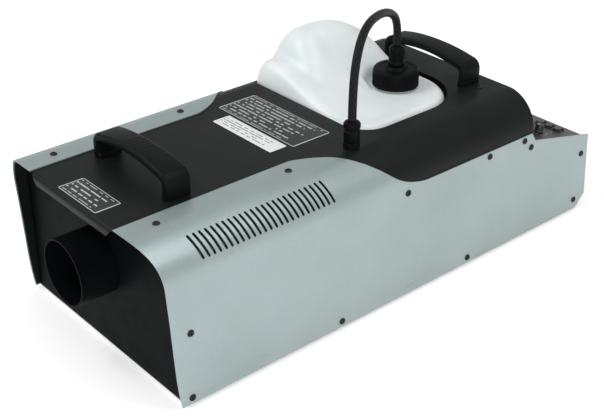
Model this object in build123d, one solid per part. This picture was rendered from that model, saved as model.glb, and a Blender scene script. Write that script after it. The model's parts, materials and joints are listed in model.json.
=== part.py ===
from build123d import *
import os
from math import asin, atan2, cos, degrees, pi, radians, sin, sqrt, tan

# A fog machine: a long sheet-metal case with a heater and outlet tube in front,
# a fluid tank in a well behind, and a sloped control panel at the rear.
# Frame: millimetres, +Z up, front towards -Y, origin on the floor under the middle.

# ---------------------------------------------------------------- overall sizes
CASE_WIDTH = 298.4
CASE_LENGTH = 650.0
CASE_HEIGHT = 188.0
FOOT_HEIGHT = 4.0
SHOULDER_RADIUS = 45.6
WALL_LEAN = 0.87
SHEET = 1.2
SHEET_GAP = 0.2

# ---------------------------------------------------------------- outlet
OUTLET_RADIUS = 37.5
OUTLET_WALL = 1.5
OUTLET_REACH = 39.0
OUTLET_DEPTH = 38.0
COLLAR_END = 4.0
COLLAR_STEP = 0.5
OUTLET_AXIS_Z = 110.0
FRONT_RECESS = 5.0

# ---------------------------------------------------------------- shared stations
FRONT_Y = -(CASE_LENGTH - OUTLET_REACH) / 2
REAR_Y = FRONT_Y + CASE_LENGTH
BASE_Z = FOOT_HEIGHT
TOP_Z = FOOT_HEIGHT + CASE_HEIGHT
DECK_Z = TOP_Z - SHEET - SHEET_GAP
COVER_INSET = SHEET + SHEET_GAP
INNER_INSET = COVER_INSET + SHEET + SHEET_GAP
COVER_LENGTH = 531.6
COVER_REAR_Y = FRONT_Y + COVER_LENGTH
VISOR_REACH = 24.0
STRIP_EDGE_X = 80.5

# ---------------------------------------------------------------- side panel outline
RAKE_MID = 6.0
RAKE_WALL_TOP = 9.7
RAKE_SHOULDER = 15.2
REAR_LEDGE_Z = BASE_Z + 141.0
LEDGE_STEP_DROP = 12.2
PANEL_TAIL_Z = BASE_Z + 103.5
PANEL_TAIL_LEAN = 6.0
REAR_CHAMFER = 16.0
SWOOP_START = 198.0
SWOOP_SPLIT = 246.5
SWOOP_END = 356.0

# ---------------------------------------------------------------- vent slots
SLOT_COUNT = 25
SLOT_PITCH = 7.1
SLOT_WIDTH = 3.2
SLOT_FIRST = 35.5
SLOT_LOW_ANGLE = 23.0
SLOT_HIGH_ANGLE = 58.5
SLOT_SLANT = 14.0

# ---------------------------------------------------------------- tank and its well
TANK_X0 = -124.0
TANK_X1 = 83.0
TANK_Y0 = 307.0
TANK_Y1 = 480.0
TANK_FLOOR_Z = 46.0
TANK_TOP_Z = 191.0
TANK_CORNER = 22.0
TANK_CORNER_FRONT = 32.0
TANK_CORNER_REAR = 67.0
TANK_EDGE = 12.0
TRAY_GAP = 2.2
TRAY_WALL = 1.2
RIDGE_TOP_Z = 249.0
BOLSTER_TOP_Z = 217.0
NECK_X = 10.0
NECK_Y = 428.0
NECK_RADIUS = 22.0
NECK_WALL = 2.0
NECK_TOP_Z = 210.0
CAP_RADIUS = 28.5
CAP_HEIGHT = 24.0
CAP_TOP_Z = 218.0
CAP_WALL = 2.2
CAP_PITCH = 5.0
STEM_RADIUS = 5.0
STEM_BORE = 2.5
STEM_TOP_Z = 234.0
PLUG_RADIUS = 9.3
PLUG_TOP_Z = 243.0
PICKUP_RADIUS = 3.0

# ---------------------------------------------------------------- hose
HOSE_RADIUS = 4.8
GLAND_X = 97.5
GLAND_Y = 274.5
GLAND_RADIUS = 9.6
GLAND_TOP_Z = 222.0
HOSE_PATH = [
    (GLAND_X, GLAND_Y, GLAND_TOP_Z),
    (GLAND_X, GLAND_Y, 246.0),
    (95.0, 278.8, 279.0),
    (86.9, 293.1, 304.5),
    (72.8, 317.8, 315.5),
    (52.1, 354.1, 311.5),
    (32.9, 387.9, 301.0),
    (18.4, 413.3, 286.5),
    (12.9, 423.0, 274.1),
    (NECK_X, NECK_Y, 259.0),
    (NECK_X, NECK_Y, PLUG_TOP_Z),
]

# ---------------------------------------------------------------- handles
HANDLE_SPAN = 138.0
HANDLE_WIDTH = 31.0
HANDLE_THICK = 9.5
HANDLE_LEG = 11.0
HANDLE_RISE = 36.0
HANDLE_CROWN = 6.0
HANDLE_CORNER = 13.0
FRONT_HANDLE_Y = 64.5
REAR_HANDLE_Y = 500.0

# ---------------------------------------------------------------- control panel
CONTROL_TOP_Y = 533.0
CONTROL_TOP_Z = BASE_Z + 126.5
CONTROL_END_Y = 640.0
CONTROL_END_Z = BASE_Z + 101.0
KNOB_RADIUS = 6.5
KNOB_HEIGHT = 11.0
KNOB_X = 50.0
KNOB_SPACING = 34.0
KNOB_ALONG = 47.0
SHAFT_RADIUS = 3.0
RUNNING_GAP = 0.05
BUTTON_RADIUS = 5.0
BUTTON_RISE = 4.0
BUTTON_X = 92.0
BUTTON_SPACING = 14.0
BUTTON_ALONG = 83.0
BUTTON_TRAVEL = 1.5
LAMP_RADIUS = 2.5
DISPLAY_LENGTH = 56.0
DISPLAY_DEPTH = 18.0

# ---------------------------------------------------------------- fasteners and feet
SCREW_HEAD_RADIUS = 4.0
SCREW_HEAD_HEIGHT = 2.2
SCREW_SHANK_RADIUS = 2.0
SCREW_LENGTH = 8.0
FOOT_RADIUS = 11.0
COVER_SCREW_X = 80.0
COVER_SCREW_Y = 503.0


# ================================================================ shared geometry
def station(offset):
    """Y of a point given its distance behind the case's front bottom edge."""
    return FRONT_Y + offset


def shoulder_centre():
    lean = radians(WALL_LEAN)
    centre_z = TOP_Z - SHOULDER_RADIUS
    rise = centre_z + SHOULDER_RADIUS * sin(lean) - BASE_Z
    centre_x = CASE_WIDTH / 2 - rise * tan(lean) - SHOULDER_RADIUS * cos(lean)
    return centre_x, centre_z


def wall_x(z, inset=0.0):
    """X of the outer wall at height z, moved in by inset."""
    lean = radians(WALL_LEAN)
    return CASE_WIDTH / 2 - (z - BASE_Z) * tan(lean) - inset / cos(lean)


def half_section(inset, low_z, inner_x):
    """Edges of one side's section: wall, shoulder, then the deck to inner_x."""
    lean = radians(WALL_LEAN)
    cx, cz = shoulder_centre()
    radius = SHOULDER_RADIUS - inset
    foot = (wall_x(low_z, inset), low_z)
    start = (cx + radius * cos(lean), cz + radius * sin(lean))
    mid_angle = (lean + pi / 2) / 2
    middle = (cx + radius * cos(mid_angle), cz + radius * sin(mid_angle))
    top = (cx, cz + radius)
    end = (inner_x, cz + radius)
    return foot, start, middle, top, end


def side_ribbon(inset, thick, low_z, inner_x):
    """Closed section of a sheet that wraps one side, in the XZ plane."""
    a = half_section(inset, low_z, inner_x)
    b = half_section(inset + thick, low_z, inner_x)
    edges = [
        Line(a[0], a[1]),
        ThreePointArc(a[1], a[2], a[3]),
        Line(a[3], a[4]),
        Line(a[4], b[4]),
        Line(b[4], b[3]),
        ThreePointArc(b[3], b[2], b[1]),
        Line(b[1], b[0]),
        Line(b[0], a[0]),
    ]
    return make_face(edges)


def full_section(inset, low_z):
    """Closed section of everything inside the case at this inset."""
    a = half_section(inset, low_z, 0)
    right = [Line(a[0], a[1]), ThreePointArc(a[1], a[2], a[3])]
    flip = [(-p[0], p[1]) for p in a]
    left = [ThreePointArc(flip[3], flip[2], flip[1]), Line(flip[1], flip[0])]
    return make_face(right + [Line(a[3], flip[3])] + left + [Line(flip[0], a[0])])


def along_y(face, start_y, end_y):
    """Extrude an XZ section from start_y to end_y."""
    placed = Plane.XZ.offset(-start_y) * face
    return extrude(placed, amount=-(end_y - start_y))


def across_x(face, start_x, end_x):
    """Extrude a YZ outline from start_x to end_x."""
    placed = Plane.YZ.offset(start_x) * face
    return extrude(placed, amount=end_x - start_x)


def block(x0, x1, y0, y1, z0, z1):
    """Box between two corners."""
    centre = Pos((x0 + x1) / 2, (y0 + y1) / 2, (z0 + z1) / 2)
    return centre * Box(x1 - x0, y1 - y0, z1 - z0)


def rod(start, end, radius):
    """Cylinder between two points."""
    a = Vector(*start)
    b = Vector(*end)
    plane = Plane(origin=a, z_dir=(b - a).normalized())
    return extrude(plane * Circle(radius), amount=(b - a).length)


def tube(start, end, outer, inner):
    return rod(start, end, outer) - rod(start, end, inner)


def mirrored(shape):
    return mirror(shape, about=Plane.YZ)


# ================================================================ casing
def front_edge_points():
    """Raked front edge of the side sheets, from the floor up to the deck."""
    cx, cz = shoulder_centre()
    bend = SHOULDER_RADIUS * sin(radians(45))
    return [
        (station(0), BASE_Z),
        (station(-RAKE_MID), BASE_Z + 72),
        (station(-RAKE_WALL_TOP), cz),
        (station(-RAKE_SHOULDER), cz + bend),
        (station(-VISOR_REACH + 0.5), TOP_Z + 0.5),
    ]


def panel_outline():
    """Side view of a side panel."""
    front = front_edge_points()
    swoop = [
        (station(SWOOP_SPLIT), TOP_Z + 0.5),
        (station(267), BASE_Z + 179.6),
        (station(285.5), BASE_Z + 167.6),
        (station(301), BASE_Z + 156.0),
        (station(318), BASE_Z + 147.6),
        (station(336), BASE_Z + 142.6),
        (station(SWOOP_END), REAR_LEDGE_Z),
    ]
    ledge_end = (station(528.5), REAR_LEDGE_Z - 0.6)
    step = (station(536), REAR_LEDGE_Z - LEDGE_STEP_DROP)
    tail = (REAR_Y - PANEL_TAIL_LEAN, PANEL_TAIL_Z)
    heel = (REAR_Y, BASE_Z + REAR_CHAMFER)
    toe = (REAR_Y - REAR_CHAMFER, BASE_Z)
    above = TOP_Z + 20
    edges = [
        Spline(*front),
        Line(front[-1], (front[-1][0], above)),
        Line((front[-1][0], above), (swoop[0][0], above)),
        Line((swoop[0][0], above), swoop[0]),
        Spline(*swoop, tangents=[(1, -0.18), (1, 0)]),
        Line(swoop[-1], ledge_end),
        Line(ledge_end, step),
        Line(step, tail),
        Line(tail, heel),
        Line(heel, toe),
        Line(toe, front[0]),
    ]
    return make_face(edges)


def swoop_in_plan():
    """Top view of the part of the deck strip that the swoop cuts away."""
    curve = [
        (STRIP_EDGE_X - 0.5, station(SWOOP_START - 2)),
        (86, station(213)),
        (96.5, station(231)),
        (110, station(SWOOP_SPLIT)),
        (128, station(267)),
    ]
    far = STRIP_EDGE_X - 20
    edges = [
        Spline(*curve),
        Line(curve[-1], (far, curve[-1][1])),
        Line((far, curve[-1][1]), (far, curve[0][1])),
        Line((far, curve[0][1]), curve[0]),
    ]
    return make_face(edges)


def slot_tools():
    """Slanted vent slots through the right shoulder, as one compound."""
    cx, cz = shoulder_centre()
    middle = radians((SLOT_LOW_ANGLE + SLOT_HIGH_ANGLE) / 2)
    half = radians((SLOT_HIGH_ANGLE - SLOT_LOW_ANGLE) / 2)
    chord = 2 * SHOULDER_RADIUS * sin(half)
    length = chord / cos(radians(SLOT_SLANT))
    normal = (cos(middle), 0, sin(middle))
    tools = []
    for index in range(SLOT_COUNT):
        y = station(SLOT_FIRST + index * SLOT_PITCH)
        origin = (cx + 30 * cos(middle), y, cz + 30 * sin(middle))
        plane = Plane(origin=origin, x_dir=(0, 1, 0), z_dir=normal)
        slot = SlotOverall(length, SLOT_WIDTH, rotation=90 + SLOT_SLANT)
        tools.append(extrude(plane * slot, amount=20))
    return tools


def side_panel():
    ribbon = side_ribbon(0, SHEET, BASE_Z, STRIP_EDGE_X)
    sheet = along_y(ribbon, station(-VISOR_REACH - 10), REAR_Y)
    sheet = sheet & across_x(panel_outline(), 0, CASE_WIDTH)
    notch = extrude(Plane.XY.offset(TOP_Z - 12) * swoop_in_plan(), amount=30)
    sheet = sheet - notch
    sheet = sheet - slot_tools()
    for x, y, z, axis in side_screw_seats():
        sheet = sheet - screw_hole(x, y, z, axis)
    return sheet


def cover_outline():
    """Side view of the top cover's sheet: raked in front, square behind."""
    front = [(y + 1.0, z) for y, z in front_edge_points()]
    front[0] = (front[0][0], BASE_Z - 1)
    above = TOP_Z + 20
    edges = [
        Spline(*front),
        Line(front[-1], (front[-1][0], above)),
        Line((front[-1][0], above), (COVER_REAR_Y, above)),
        Line((COVER_REAR_Y, above), (COVER_REAR_Y, BASE_Z - 1)),
        Line((COVER_REAR_Y, BASE_Z - 1), front[0]),
    ]
    return make_face(edges)


def tank_opening(gap):
    """Top view of the tank, grown by gap, with its own radius at each corner."""
    x0, x1 = TANK_X0 - gap, TANK_X1 + gap
    y0, y1 = station(TANK_Y0) - gap, station(TANK_Y1) + gap
    corners = [
        (x0, y0, TANK_CORNER + gap),
        (x1, y0, TANK_CORNER_FRONT + gap),
        (x1, y1, TANK_CORNER_REAR + gap),
        (x0, y1, TANK_CORNER + gap),
    ]
    outline = make_face(Polyline((x0, y0), (x1, y0), (x1, y1), (x0, y1), close=True))
    for x, y, radius in corners:
        corner = outline.vertices().sort_by_distance((x, y, 0))[0]
        outline = fillet(corner, radius)
    return outline


def visor_lip():
    """Turned-down front edge of the deck, cut slanting at both ends."""
    bend = 6.0
    drop = 11.0
    y0 = station(-VISOR_REACH + 1.0)
    z1 = DECK_Z
    corner = 0.7071
    mid = (y0 + bend - bend * corner, z1 - bend + bend * corner)
    inner = bend - SHEET
    mid_in = (y0 + bend - inner * corner, z1 - bend + inner * corner)
    edges = [
        Line((y0 + bend + 1, z1), (y0 + bend, z1)),
        ThreePointArc((y0 + bend, z1), mid, (y0, z1 - bend)),
        Line((y0, z1 - bend), (y0, z1 - drop)),
        Line((y0, z1 - drop), (y0 + SHEET, z1 - drop)),
        Line((y0 + SHEET, z1 - drop), (y0 + SHEET, z1 - bend)),
        ThreePointArc((y0 + SHEET, z1 - bend), mid_in, (y0 + bend, z1 - SHEET)),
        Line((y0 + bend, z1 - SHEET), (y0 + bend + 1, z1 - SHEET)),
        Line((y0 + bend + 1, z1 - SHEET), (y0 + bend + 1, z1)),
    ]
    lip = across_x(make_face(edges), -STRIP_EDGE_X + 2, STRIP_EDGE_X - 2)
    for side in (-1, 1):
        cut = Pos(side * (STRIP_EDGE_X - 2), y0 + 3, z1 - drop) * Rot(0, 45, 0)
        lip = lip - cut * Box(16, 8, 16)
    return lip


def top_cover():
    half = side_ribbon(COVER_INSET, SHEET, BASE_Z + 2, -0.5)
    sheet = along_y(half, station(-VISOR_REACH - 10), COVER_REAR_Y)
    sheet = sheet & across_x(cover_outline(), -1, CASE_WIDTH)
    sheet = sheet - slot_tools()
    for x, y, z, axis in side_screw_seats():
        if y < COVER_REAR_Y - 2:
            sheet = sheet - screw_hole(x, y, z, axis)
    sheet = sheet + mirrored(sheet)
    y0 = station(-VISOR_REACH + 1.0)
    sheet = sheet - block(-STRIP_EDGE_X + 2, STRIP_EDGE_X - 2, y0 - 5, y0 + 6, DECK_Z - 3, TOP_Z + 3)
    sheet = sheet + visor_lip()
    well = extrude(Plane.XY.offset(DECK_Z - 40) * tank_opening(TRAY_GAP), amount=60)
    sheet = sheet - well
    sheet = sheet - rod((GLAND_X, station(GLAND_Y), DECK_Z - 5), (GLAND_X, station(GLAND_Y), TOP_Z + 5), 6.0)
    for x, y in handle_screw_places() + cover_screw_places():
        sheet = sheet - rod((x, y, DECK_Z - 5), (x, y, TOP_Z + 5), SCREW_SHANK_RADIUS + 0.1)
    return sheet


def front_panel():
    y0 = station(FRONT_RECESS)
    plate = along_y(full_section(INNER_INSET + 0.1, BASE_Z + SHEET + SHEET_GAP), y0, y0 + SHEET)
    hole = rod((0, y0 - 5, OUTLET_AXIS_Z), (0, y0 + 5, OUTLET_AXIS_Z), OUTLET_RADIUS + 0.3)
    return plate - hole


def base_pan():
    y0 = station(FRONT_RECESS)
    y1 = REAR_Y - REAR_CHAMFER - 2
    edge = wall_x(BASE_Z, INNER_INSET) - 0.3
    pan = block(-edge, edge, y0, y1, BASE_Z, BASE_Z + SHEET)
    for side in (-1, 1):
        flange = block(side * (edge - SHEET / 2) - SHEET / 2, side * (edge - SHEET / 2) + SHEET / 2,
                       y0 + 3, y1 - 24, BASE_Z, BASE_Z + 14)
        pan = pan + flange
    for x, y, z, axis in side_screw_seats():
        if z < BASE_Z + 14:
            hole = screw_hole(x, y, z, axis)
            pan = pan - hole - mirrored(hole)
    return pan


def rear_panel():
    """Back plate with a slanted foot that closes the chamfered corner."""
    y1 = REAR_Y - 8
    edge = wall_x(PANEL_TAIL_Z, COVER_INSET) - 0.3
    outline = make_face([
        Line((y1 - 14, BASE_Z + 1.5), (y1, BASE_Z + 15.5)),
        Line((y1, BASE_Z + 15.5), (y1, CONTROL_END_Z - 1.6)),
        Line((y1, CONTROL_END_Z - 1.6), (y1 - SHEET, CONTROL_END_Z - 1.6)),
        Line((y1 - SHEET, CONTROL_END_Z - 1.6), (y1 - SHEET, BASE_Z + 16)),
        Line((y1 - SHEET, BASE_Z + 16), (y1 - 15.5, BASE_Z + 1.5)),
        Line((y1 - 15.5, BASE_Z + 1.5), (y1 - 14, BASE_Z + 1.5)),
    ])
    plate = across_x(outline, -edge, edge)
    for hole in rear_openings():
        plate = plate - hole
    return plate


def rear_bulkhead():
    """Wall under the cover's rear end, down to the control panel."""
    y1 = COVER_REAR_Y - 1.0
    plate = along_y(full_section(INNER_INSET + 0.1, CONTROL_TOP_Z - 1.5), y1 - SHEET, y1)
    return plate


# ================================================================ control panel
def panel_direction():
    run = CONTROL_END_Y - CONTROL_TOP_Y
    fall = CONTROL_TOP_Z - CONTROL_END_Z
    length = sqrt(run * run + fall * fall)
    return Vector(0, run / length, -fall / length), Vector(0, fall / length, run / length), length


def on_panel(x, along, height=0.0):
    """Point on the sloped panel, given its place across and down the slope."""
    down, normal, length = panel_direction()
    top = Vector(0, station(CONTROL_TOP_Y), CONTROL_TOP_Z)
    return top + Vector(x, 0, 0) + down * along + normal * height


def panel_rod(x, along, low, high, radius):
    start = on_panel(x, along, low)
    end = on_panel(x, along, high)
    return rod(tuple(start), tuple(end), radius)


def panel_plane(x, along, height):
    down, normal, length = panel_direction()
    return Plane(origin=on_panel(x, along, height), x_dir=(1, 0, 0), z_dir=normal)


def knob_places():
    """Across and down the slope: interval, duration, output."""
    return [(KNOB_X + KNOB_SPACING * index, KNOB_ALONG) for index in range(3)]


def button_places():
    return [(BUTTON_X + BUTTON_SPACING * index, BUTTON_ALONG) for index in range(3)]


def lamp_places():
    return [(x, along + 13) for x, along in button_places()]


def display_centre():
    return -50.0, 42.0


def control_panel():
    down, normal, length = panel_direction()
    edge = wall_x(PANEL_TAIL_Z, SHEET) - 1.5
    plate = panel_plane(0, length / 2, -SHEET) * Rectangle(2 * edge, length)
    plate = extrude(plate, amount=SHEET)
    for x, along in knob_places():
        plate = plate - panel_rod(x, along, -5, 5, SHAFT_RADIUS + 0.4)
    for x, along in button_places():
        plate = plate - panel_rod(x, along, -5, 5, BUTTON_RADIUS + RUNNING_GAP)
    for x, along in lamp_places():
        plate = plate - panel_rod(x, along, -5, 5, LAMP_RADIUS)
    x, along = display_centre()
    window = panel_plane(x, along, -5) * Rectangle(DISPLAY_LENGTH + 0.4, DISPLAY_DEPTH + 0.4)
    plate = plate - extrude(window, amount=10)
    return plate


def control_board():
    """Circuit board under the control panel, with its pots and switches."""
    board = panel_plane(30, 54, -16) * Rectangle(200, 76)
    board = extrude(board, amount=1.6)
    for x, along in knob_places():
        pot = panel_plane(x, along, -14.4) * Rectangle(13, 13)
        pot = extrude(pot, amount=7)
        board = board + pot + panel_rod(x, along, -7.4, -1.8, 4.0)
        board = board - panel_rod(x, along, -12, -1, SHAFT_RADIUS + RUNNING_GAP)
    for x, along in button_places():
        switch = panel_plane(x, along, -14.4) * Rectangle(6, 6)
        board = board + extrude(switch, amount=4.0)
    return board


def knob(index):
    x, along = knob_places()[index]
    body = panel_rod(x, along, 0.6, KNOB_HEIGHT, KNOB_RADIUS)
    shaft = panel_rod(x, along, -10.5, 0.7, SHAFT_RADIUS)
    groove = panel_plane(x, along + KNOB_RADIUS * 0.55, KNOB_HEIGHT - 0.8) * Rectangle(1.2, KNOB_RADIUS)
    return body + shaft - extrude(groove, amount=1.0)


def button(index):
    x, along = button_places()[index]
    cap = panel_rod(x, along, -1.9, BUTTON_RISE, BUTTON_RADIUS)
    flange = panel_rod(x, along, -3.2, -1.5, BUTTON_RADIUS + 1.2)
    stem = panel_rod(x, along, -8.4, -3.0, 1.8)
    return cap + flange + stem


def lamps():
    pieces = []
    for x, along in lamp_places():
        body = panel_rod(x, along, -6, 1.0, LAMP_RADIUS - 0.05)
        dome = Pos(*tuple(on_panel(x, along, 1.0))) * Sphere(LAMP_RADIUS - 0.05)
        pieces.append(body + dome)
    return Compound(children=pieces)


def display_window():
    x, along = display_centre()
    lens = panel_plane(x, along, -0.6) * Rectangle(DISPLAY_LENGTH, DISPLAY_DEPTH)
    lens = extrude(lens, amount=1.2)
    back = panel_plane(x, along, -8) * Rectangle(DISPLAY_LENGTH - 4, DISPLAY_DEPTH - 4)
    return lens + extrude(back, amount=7.6)


# ================================================================ rear fittings
INLET_X = 92.0
INLET_Z = BASE_Z + 46.0
INLET_WIDTH = 34.0
INLET_HEIGHT = 26.0
SWITCH_X = 38.0
SWITCH_WIDTH = 22.0
SWITCH_HEIGHT = 30.0
FUSE_X = 6.0
FUSE_RADIUS = 7.5
SOCKET_X = (-44.0, -88.0)
SOCKET_RADIUS = 12.0
SOCKET_Z = BASE_Z + 50.0
ROCKER_TILT = 8.0
ROCKER_PIVOT_DEPTH = 3.0


def rear_openings():
    y0 = REAR_Y - 30
    y1 = REAR_Y
    tools = [
        block(INLET_X - INLET_WIDTH / 2, INLET_X + INLET_WIDTH / 2, y0, y1,
              INLET_Z - INLET_HEIGHT / 2, INLET_Z + INLET_HEIGHT / 2),
        block(SWITCH_X - SWITCH_WIDTH / 2, SWITCH_X + SWITCH_WIDTH / 2, y0, y1,
              INLET_Z - SWITCH_HEIGHT / 2, INLET_Z + SWITCH_HEIGHT / 2),
        rod((FUSE_X, y0, INLET_Z), (FUSE_X, y1, INLET_Z), FUSE_RADIUS),
    ]
    for x in SOCKET_X:
        tools.append(rod((x, y0, SOCKET_Z), (x, y1, SOCKET_Z), SOCKET_RADIUS))
    return tools


def back_face():
    return REAR_Y - 8


def mains_inlet():
    y = back_face()
    flange = block(INLET_X - 25, INLET_X + 25, y + 0.1, y + 3, INLET_Z - 16, INLET_Z + 16)
    body = block(INLET_X - INLET_WIDTH / 2 + 0.2, INLET_X + INLET_WIDTH / 2 - 0.2, y - 26, y + 2,
                 INLET_Z - INLET_HEIGHT / 2 + 0.2, INLET_Z + INLET_HEIGHT / 2 - 0.2)
    hollow = block(INLET_X - 14, INLET_X + 14, y - 18, y + 5, INLET_Z - 9.5, INLET_Z + 9.5)
    inlet = flange + body - hollow
    for dx, dz in ((-8, -2.0), (0, 3.0), (8, -2.0)):
        blade = block(INLET_X + dx - 1, INLET_X + dx + 1, y - 18.5, y - 3, INLET_Z + dz - 3, INLET_Z + dz + 3)
        inlet = inlet + blade
    return inlet


def switch_frame():
    y = back_face()
    outer = block(SWITCH_X - 13, SWITCH_X + 13, y + 0.1, y + 2.2, INLET_Z - 17, INLET_Z + 17)
    body = block(SWITCH_X - SWITCH_WIDTH / 2 + 0.2, SWITCH_X + SWITCH_WIDTH / 2 - 0.2, y - 20, y + 1,
                 INLET_Z - SWITCH_HEIGHT / 2 + 0.2, INLET_Z + SWITCH_HEIGHT / 2 - 0.2)
    well = block(SWITCH_X - 8.5, SWITCH_X + 8.5, y - 12, y + 5, INLET_Z - 12.5, INLET_Z + 12.5)
    return outer + body - well


def power_rocker():
    """Rocker with a shallow V face, resting with its lower end pressed in."""
    y = back_face()
    points = [
        (y - 6.5, INLET_Z - 9.6),
        (y + 3.0, INLET_Z - 10.4),
        (y + 1.6, INLET_Z),
        (y + 3.0, INLET_Z + 10.4),
        (y - 6.5, INLET_Z + 9.6),
    ]
    outline = make_face(Polyline(*points, close=True))
    solid = across_x(outline, SWITCH_X - 8.2, SWITCH_X + 8.2)
    pivot = Axis((SWITCH_X, y - ROCKER_PIVOT_DEPTH, INLET_Z), (1, 0, 0))
    return solid.rotate(pivot, -ROCKER_TILT)


def fuse_holder():
    y = back_face()
    body = tube((FUSE_X, y - 30, INLET_Z), (FUSE_X, y + 0.2, INLET_Z), FUSE_RADIUS - 0.2, 4.6)
    rim = tube((FUSE_X, y + 0.1, INLET_Z), (FUSE_X, y + 2.4, INLET_Z), FUSE_RADIUS + 2.2, 6.2)
    end = rod((FUSE_X, y - 31.5, INLET_Z), (FUSE_X, y - 29.9, INLET_Z), FUSE_RADIUS - 0.2)
    return body + rim + end


def fuse_cap():
    y = back_face()
    head = rod((FUSE_X, y + 0.6, INLET_Z), (FUSE_X, y + 6, INLET_Z), 6.1)
    neck = rod((FUSE_X, y - 20, INLET_Z), (FUSE_X, y + 0.7, INLET_Z), 4.5)
    slot = block(FUSE_X - 5, FUSE_X + 5, y + 4.6, y + 7, INLET_Z - 0.8, INLET_Z + 0.8)
    return head + neck - slot


def control_socket(index):
    """Round three-pin control socket with a square flange."""
    y = back_face()
    x = SOCKET_X[index]
    flange = block(x - 15, x + 15, y + 0.1, y + 2.6, SOCKET_Z - 15, SOCKET_Z + 15)
    shell = rod((x, y - 24, SOCKET_Z), (x, y + 1, SOCKET_Z), SOCKET_RADIUS - 0.2)
    hollow = rod((x, y - 14, SOCKET_Z), (x, y + 5, SOCKET_Z), 9.8)
    socket = flange + shell - hollow
    if index == 0:
        for angle in (90, 210, 330):
            dx = 4.6 * cos(radians(angle))
            dz = 4.6 * sin(radians(angle))
            socket = socket + rod((x + dx, y - 14.5, SOCKET_Z + dz), (x + dx, y - 3, SOCKET_Z + dz), 1.2)
    else:
        core = rod((x, y - 14.5, SOCKET_Z), (x, y - 1, SOCKET_Z), 7.6)
        for angle in (90, 210, 330):
            dx = 4.6 * cos(radians(angle))
            dz = 4.6 * sin(radians(angle))
            core = core - rod((x + dx, y - 12, SOCKET_Z + dz), (x + dx, y + 3, SOCKET_Z + dz), 1.4)
        socket = socket + core
    return socket


# ================================================================ tank group
def tank_tray():
    gap = TRAY_GAP - 0.3
    low = TANK_FLOOR_Z - 2 - TRAY_WALL
    high = DECK_Z - SHEET - 0.3
    outer = extrude(Plane.XY.offset(low) * tank_opening(gap), amount=high - low)
    inner = extrude(Plane.XY.offset(low + TRAY_WALL) * tank_opening(gap - TRAY_WALL), amount=high)
    room = along_y(full_section(INNER_INSET + 0.3, BASE_Z), station(TANK_Y0 - 30), station(TANK_Y1 + 30))
    legs = None
    for x in (TANK_X0 + 20, TANK_X1 - 20):
        leg = block(x - 1, x + 1, station(TANK_Y0 + 20), station(TANK_Y1 - 20), BASE_Z + SHEET, low + 0.1)
        foot = block(x - 8, x + 8, station(TANK_Y0 + 20), station(TANK_Y1 - 20),
                     BASE_Z + SHEET, BASE_Z + 2 * SHEET)
        legs = leg + foot if legs is None else legs + leg + foot
    return ((outer - inner) & room) + legs


def tank_ridge():
    """Domed carrying ridge along the far side of the tank."""
    low = TANK_TOP_Z - 30
    start = (station(332), TANK_TOP_Z)
    end = (station(477), 196)
    side = make_face([
        Line((start[0], low), start),
        Spline(start, (station(337), 219), (station(346), 236), (station(360), 246), (station(380), RIDGE_TOP_Z),
               (station(408), 247), (station(438), 234), (station(462), 217), end),
        Line(end, (end[0], low)),
        Line((end[0], low), (start[0], low)),
    ])
    edge_x = TANK_X0 + 1
    across = make_face([
        Line((edge_x, low), (edge_x, 212)),
        Spline((edge_x, 212), (-118, 232), (-107, 245), (-92, RIDGE_TOP_Z), (-75, 247), (-57, 234), (-36, 213),
               (-10, 197), (12, TANK_TOP_Z)),
        Line((12, TANK_TOP_Z), (12, low)),
        Line((12, low), (edge_x, low)),
    ])
    return across_x(side, TANK_X0, 16) & along_y(across, station(300), station(480))


def tank_bolster():
    """Lower rounded bulge at the tank's front far corner."""
    low = TANK_TOP_Z - 30
    edge_x = TANK_X0 + 1
    end = (34, TANK_TOP_Z)
    across = make_face([
        Line((edge_x, low), (edge_x, 195)),
        Spline((edge_x, 195), (-114, 210), (-98, BOLSTER_TOP_Z), (-66, 213), (-20, 200), end),
        Line(end, (end[0], low)),
        Line((end[0], low), (edge_x, low)),
    ])
    start_y = station(TANK_Y0 + 0.5)
    side = make_face([
        Line((start_y, low), (start_y, 195)),
        Spline((start_y, 195), (station(311), 208), (station(319), 215), (station(330), BOLSTER_TOP_Z)),
        Line((station(330), BOLSTER_TOP_Z), (station(356), BOLSTER_TOP_Z)),
        Line((station(356), BOLSTER_TOP_Z), (station(356), low)),
        Line((station(356), low), (start_y, low)),
    ])
    return across_x(side, TANK_X0, 36) & along_y(across, station(300), station(356))


def fluid_tank():
    body = extrude(Plane.XY.offset(TANK_FLOOR_Z) * tank_opening(0), amount=TANK_TOP_Z - TANK_FLOOR_Z)
    rims = body.faces().sort_by(Axis.Z)[-1].edges() + body.faces().sort_by(Axis.Z)[0].edges()
    body = fillet(rims, TANK_EDGE)
    limit = extrude(Plane.XY.offset(TANK_FLOOR_Z) * tank_opening(0), amount=RIDGE_TOP_Z)
    moat = rod(neck_point(TANK_TOP_Z), neck_point(RIDGE_TOP_Z), CAP_RADIUS + 2.5)
    raised = (tank_bolster() & limit) + (tank_ridge() & limit)
    body = body + (raised - moat)
    cavity = block(TANK_X0 + 6, TANK_X1 - 6, station(TANK_Y0 + 6), station(TANK_Y1 - 6),
                   TANK_FLOOR_Z + 3, TANK_TOP_Z - 5)
    corner = extrude(Plane.XY.offset(TANK_FLOOR_Z) * tank_opening(-3), amount=CASE_HEIGHT)
    cavity = cavity & corner
    neck = rod((NECK_X, station(NECK_Y), TANK_TOP_Z - 6), (NECK_X, station(NECK_Y), NECK_TOP_Z), NECK_RADIUS)
    mouth = rod((NECK_X, station(NECK_Y), TANK_TOP_Z - 8), (NECK_X, station(NECK_Y), NECK_TOP_Z + 2),
                NECK_RADIUS - NECK_WALL)
    return body + neck - cavity - mouth


def neck_point(z):
    return (NECK_X, station(NECK_Y), z)


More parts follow.
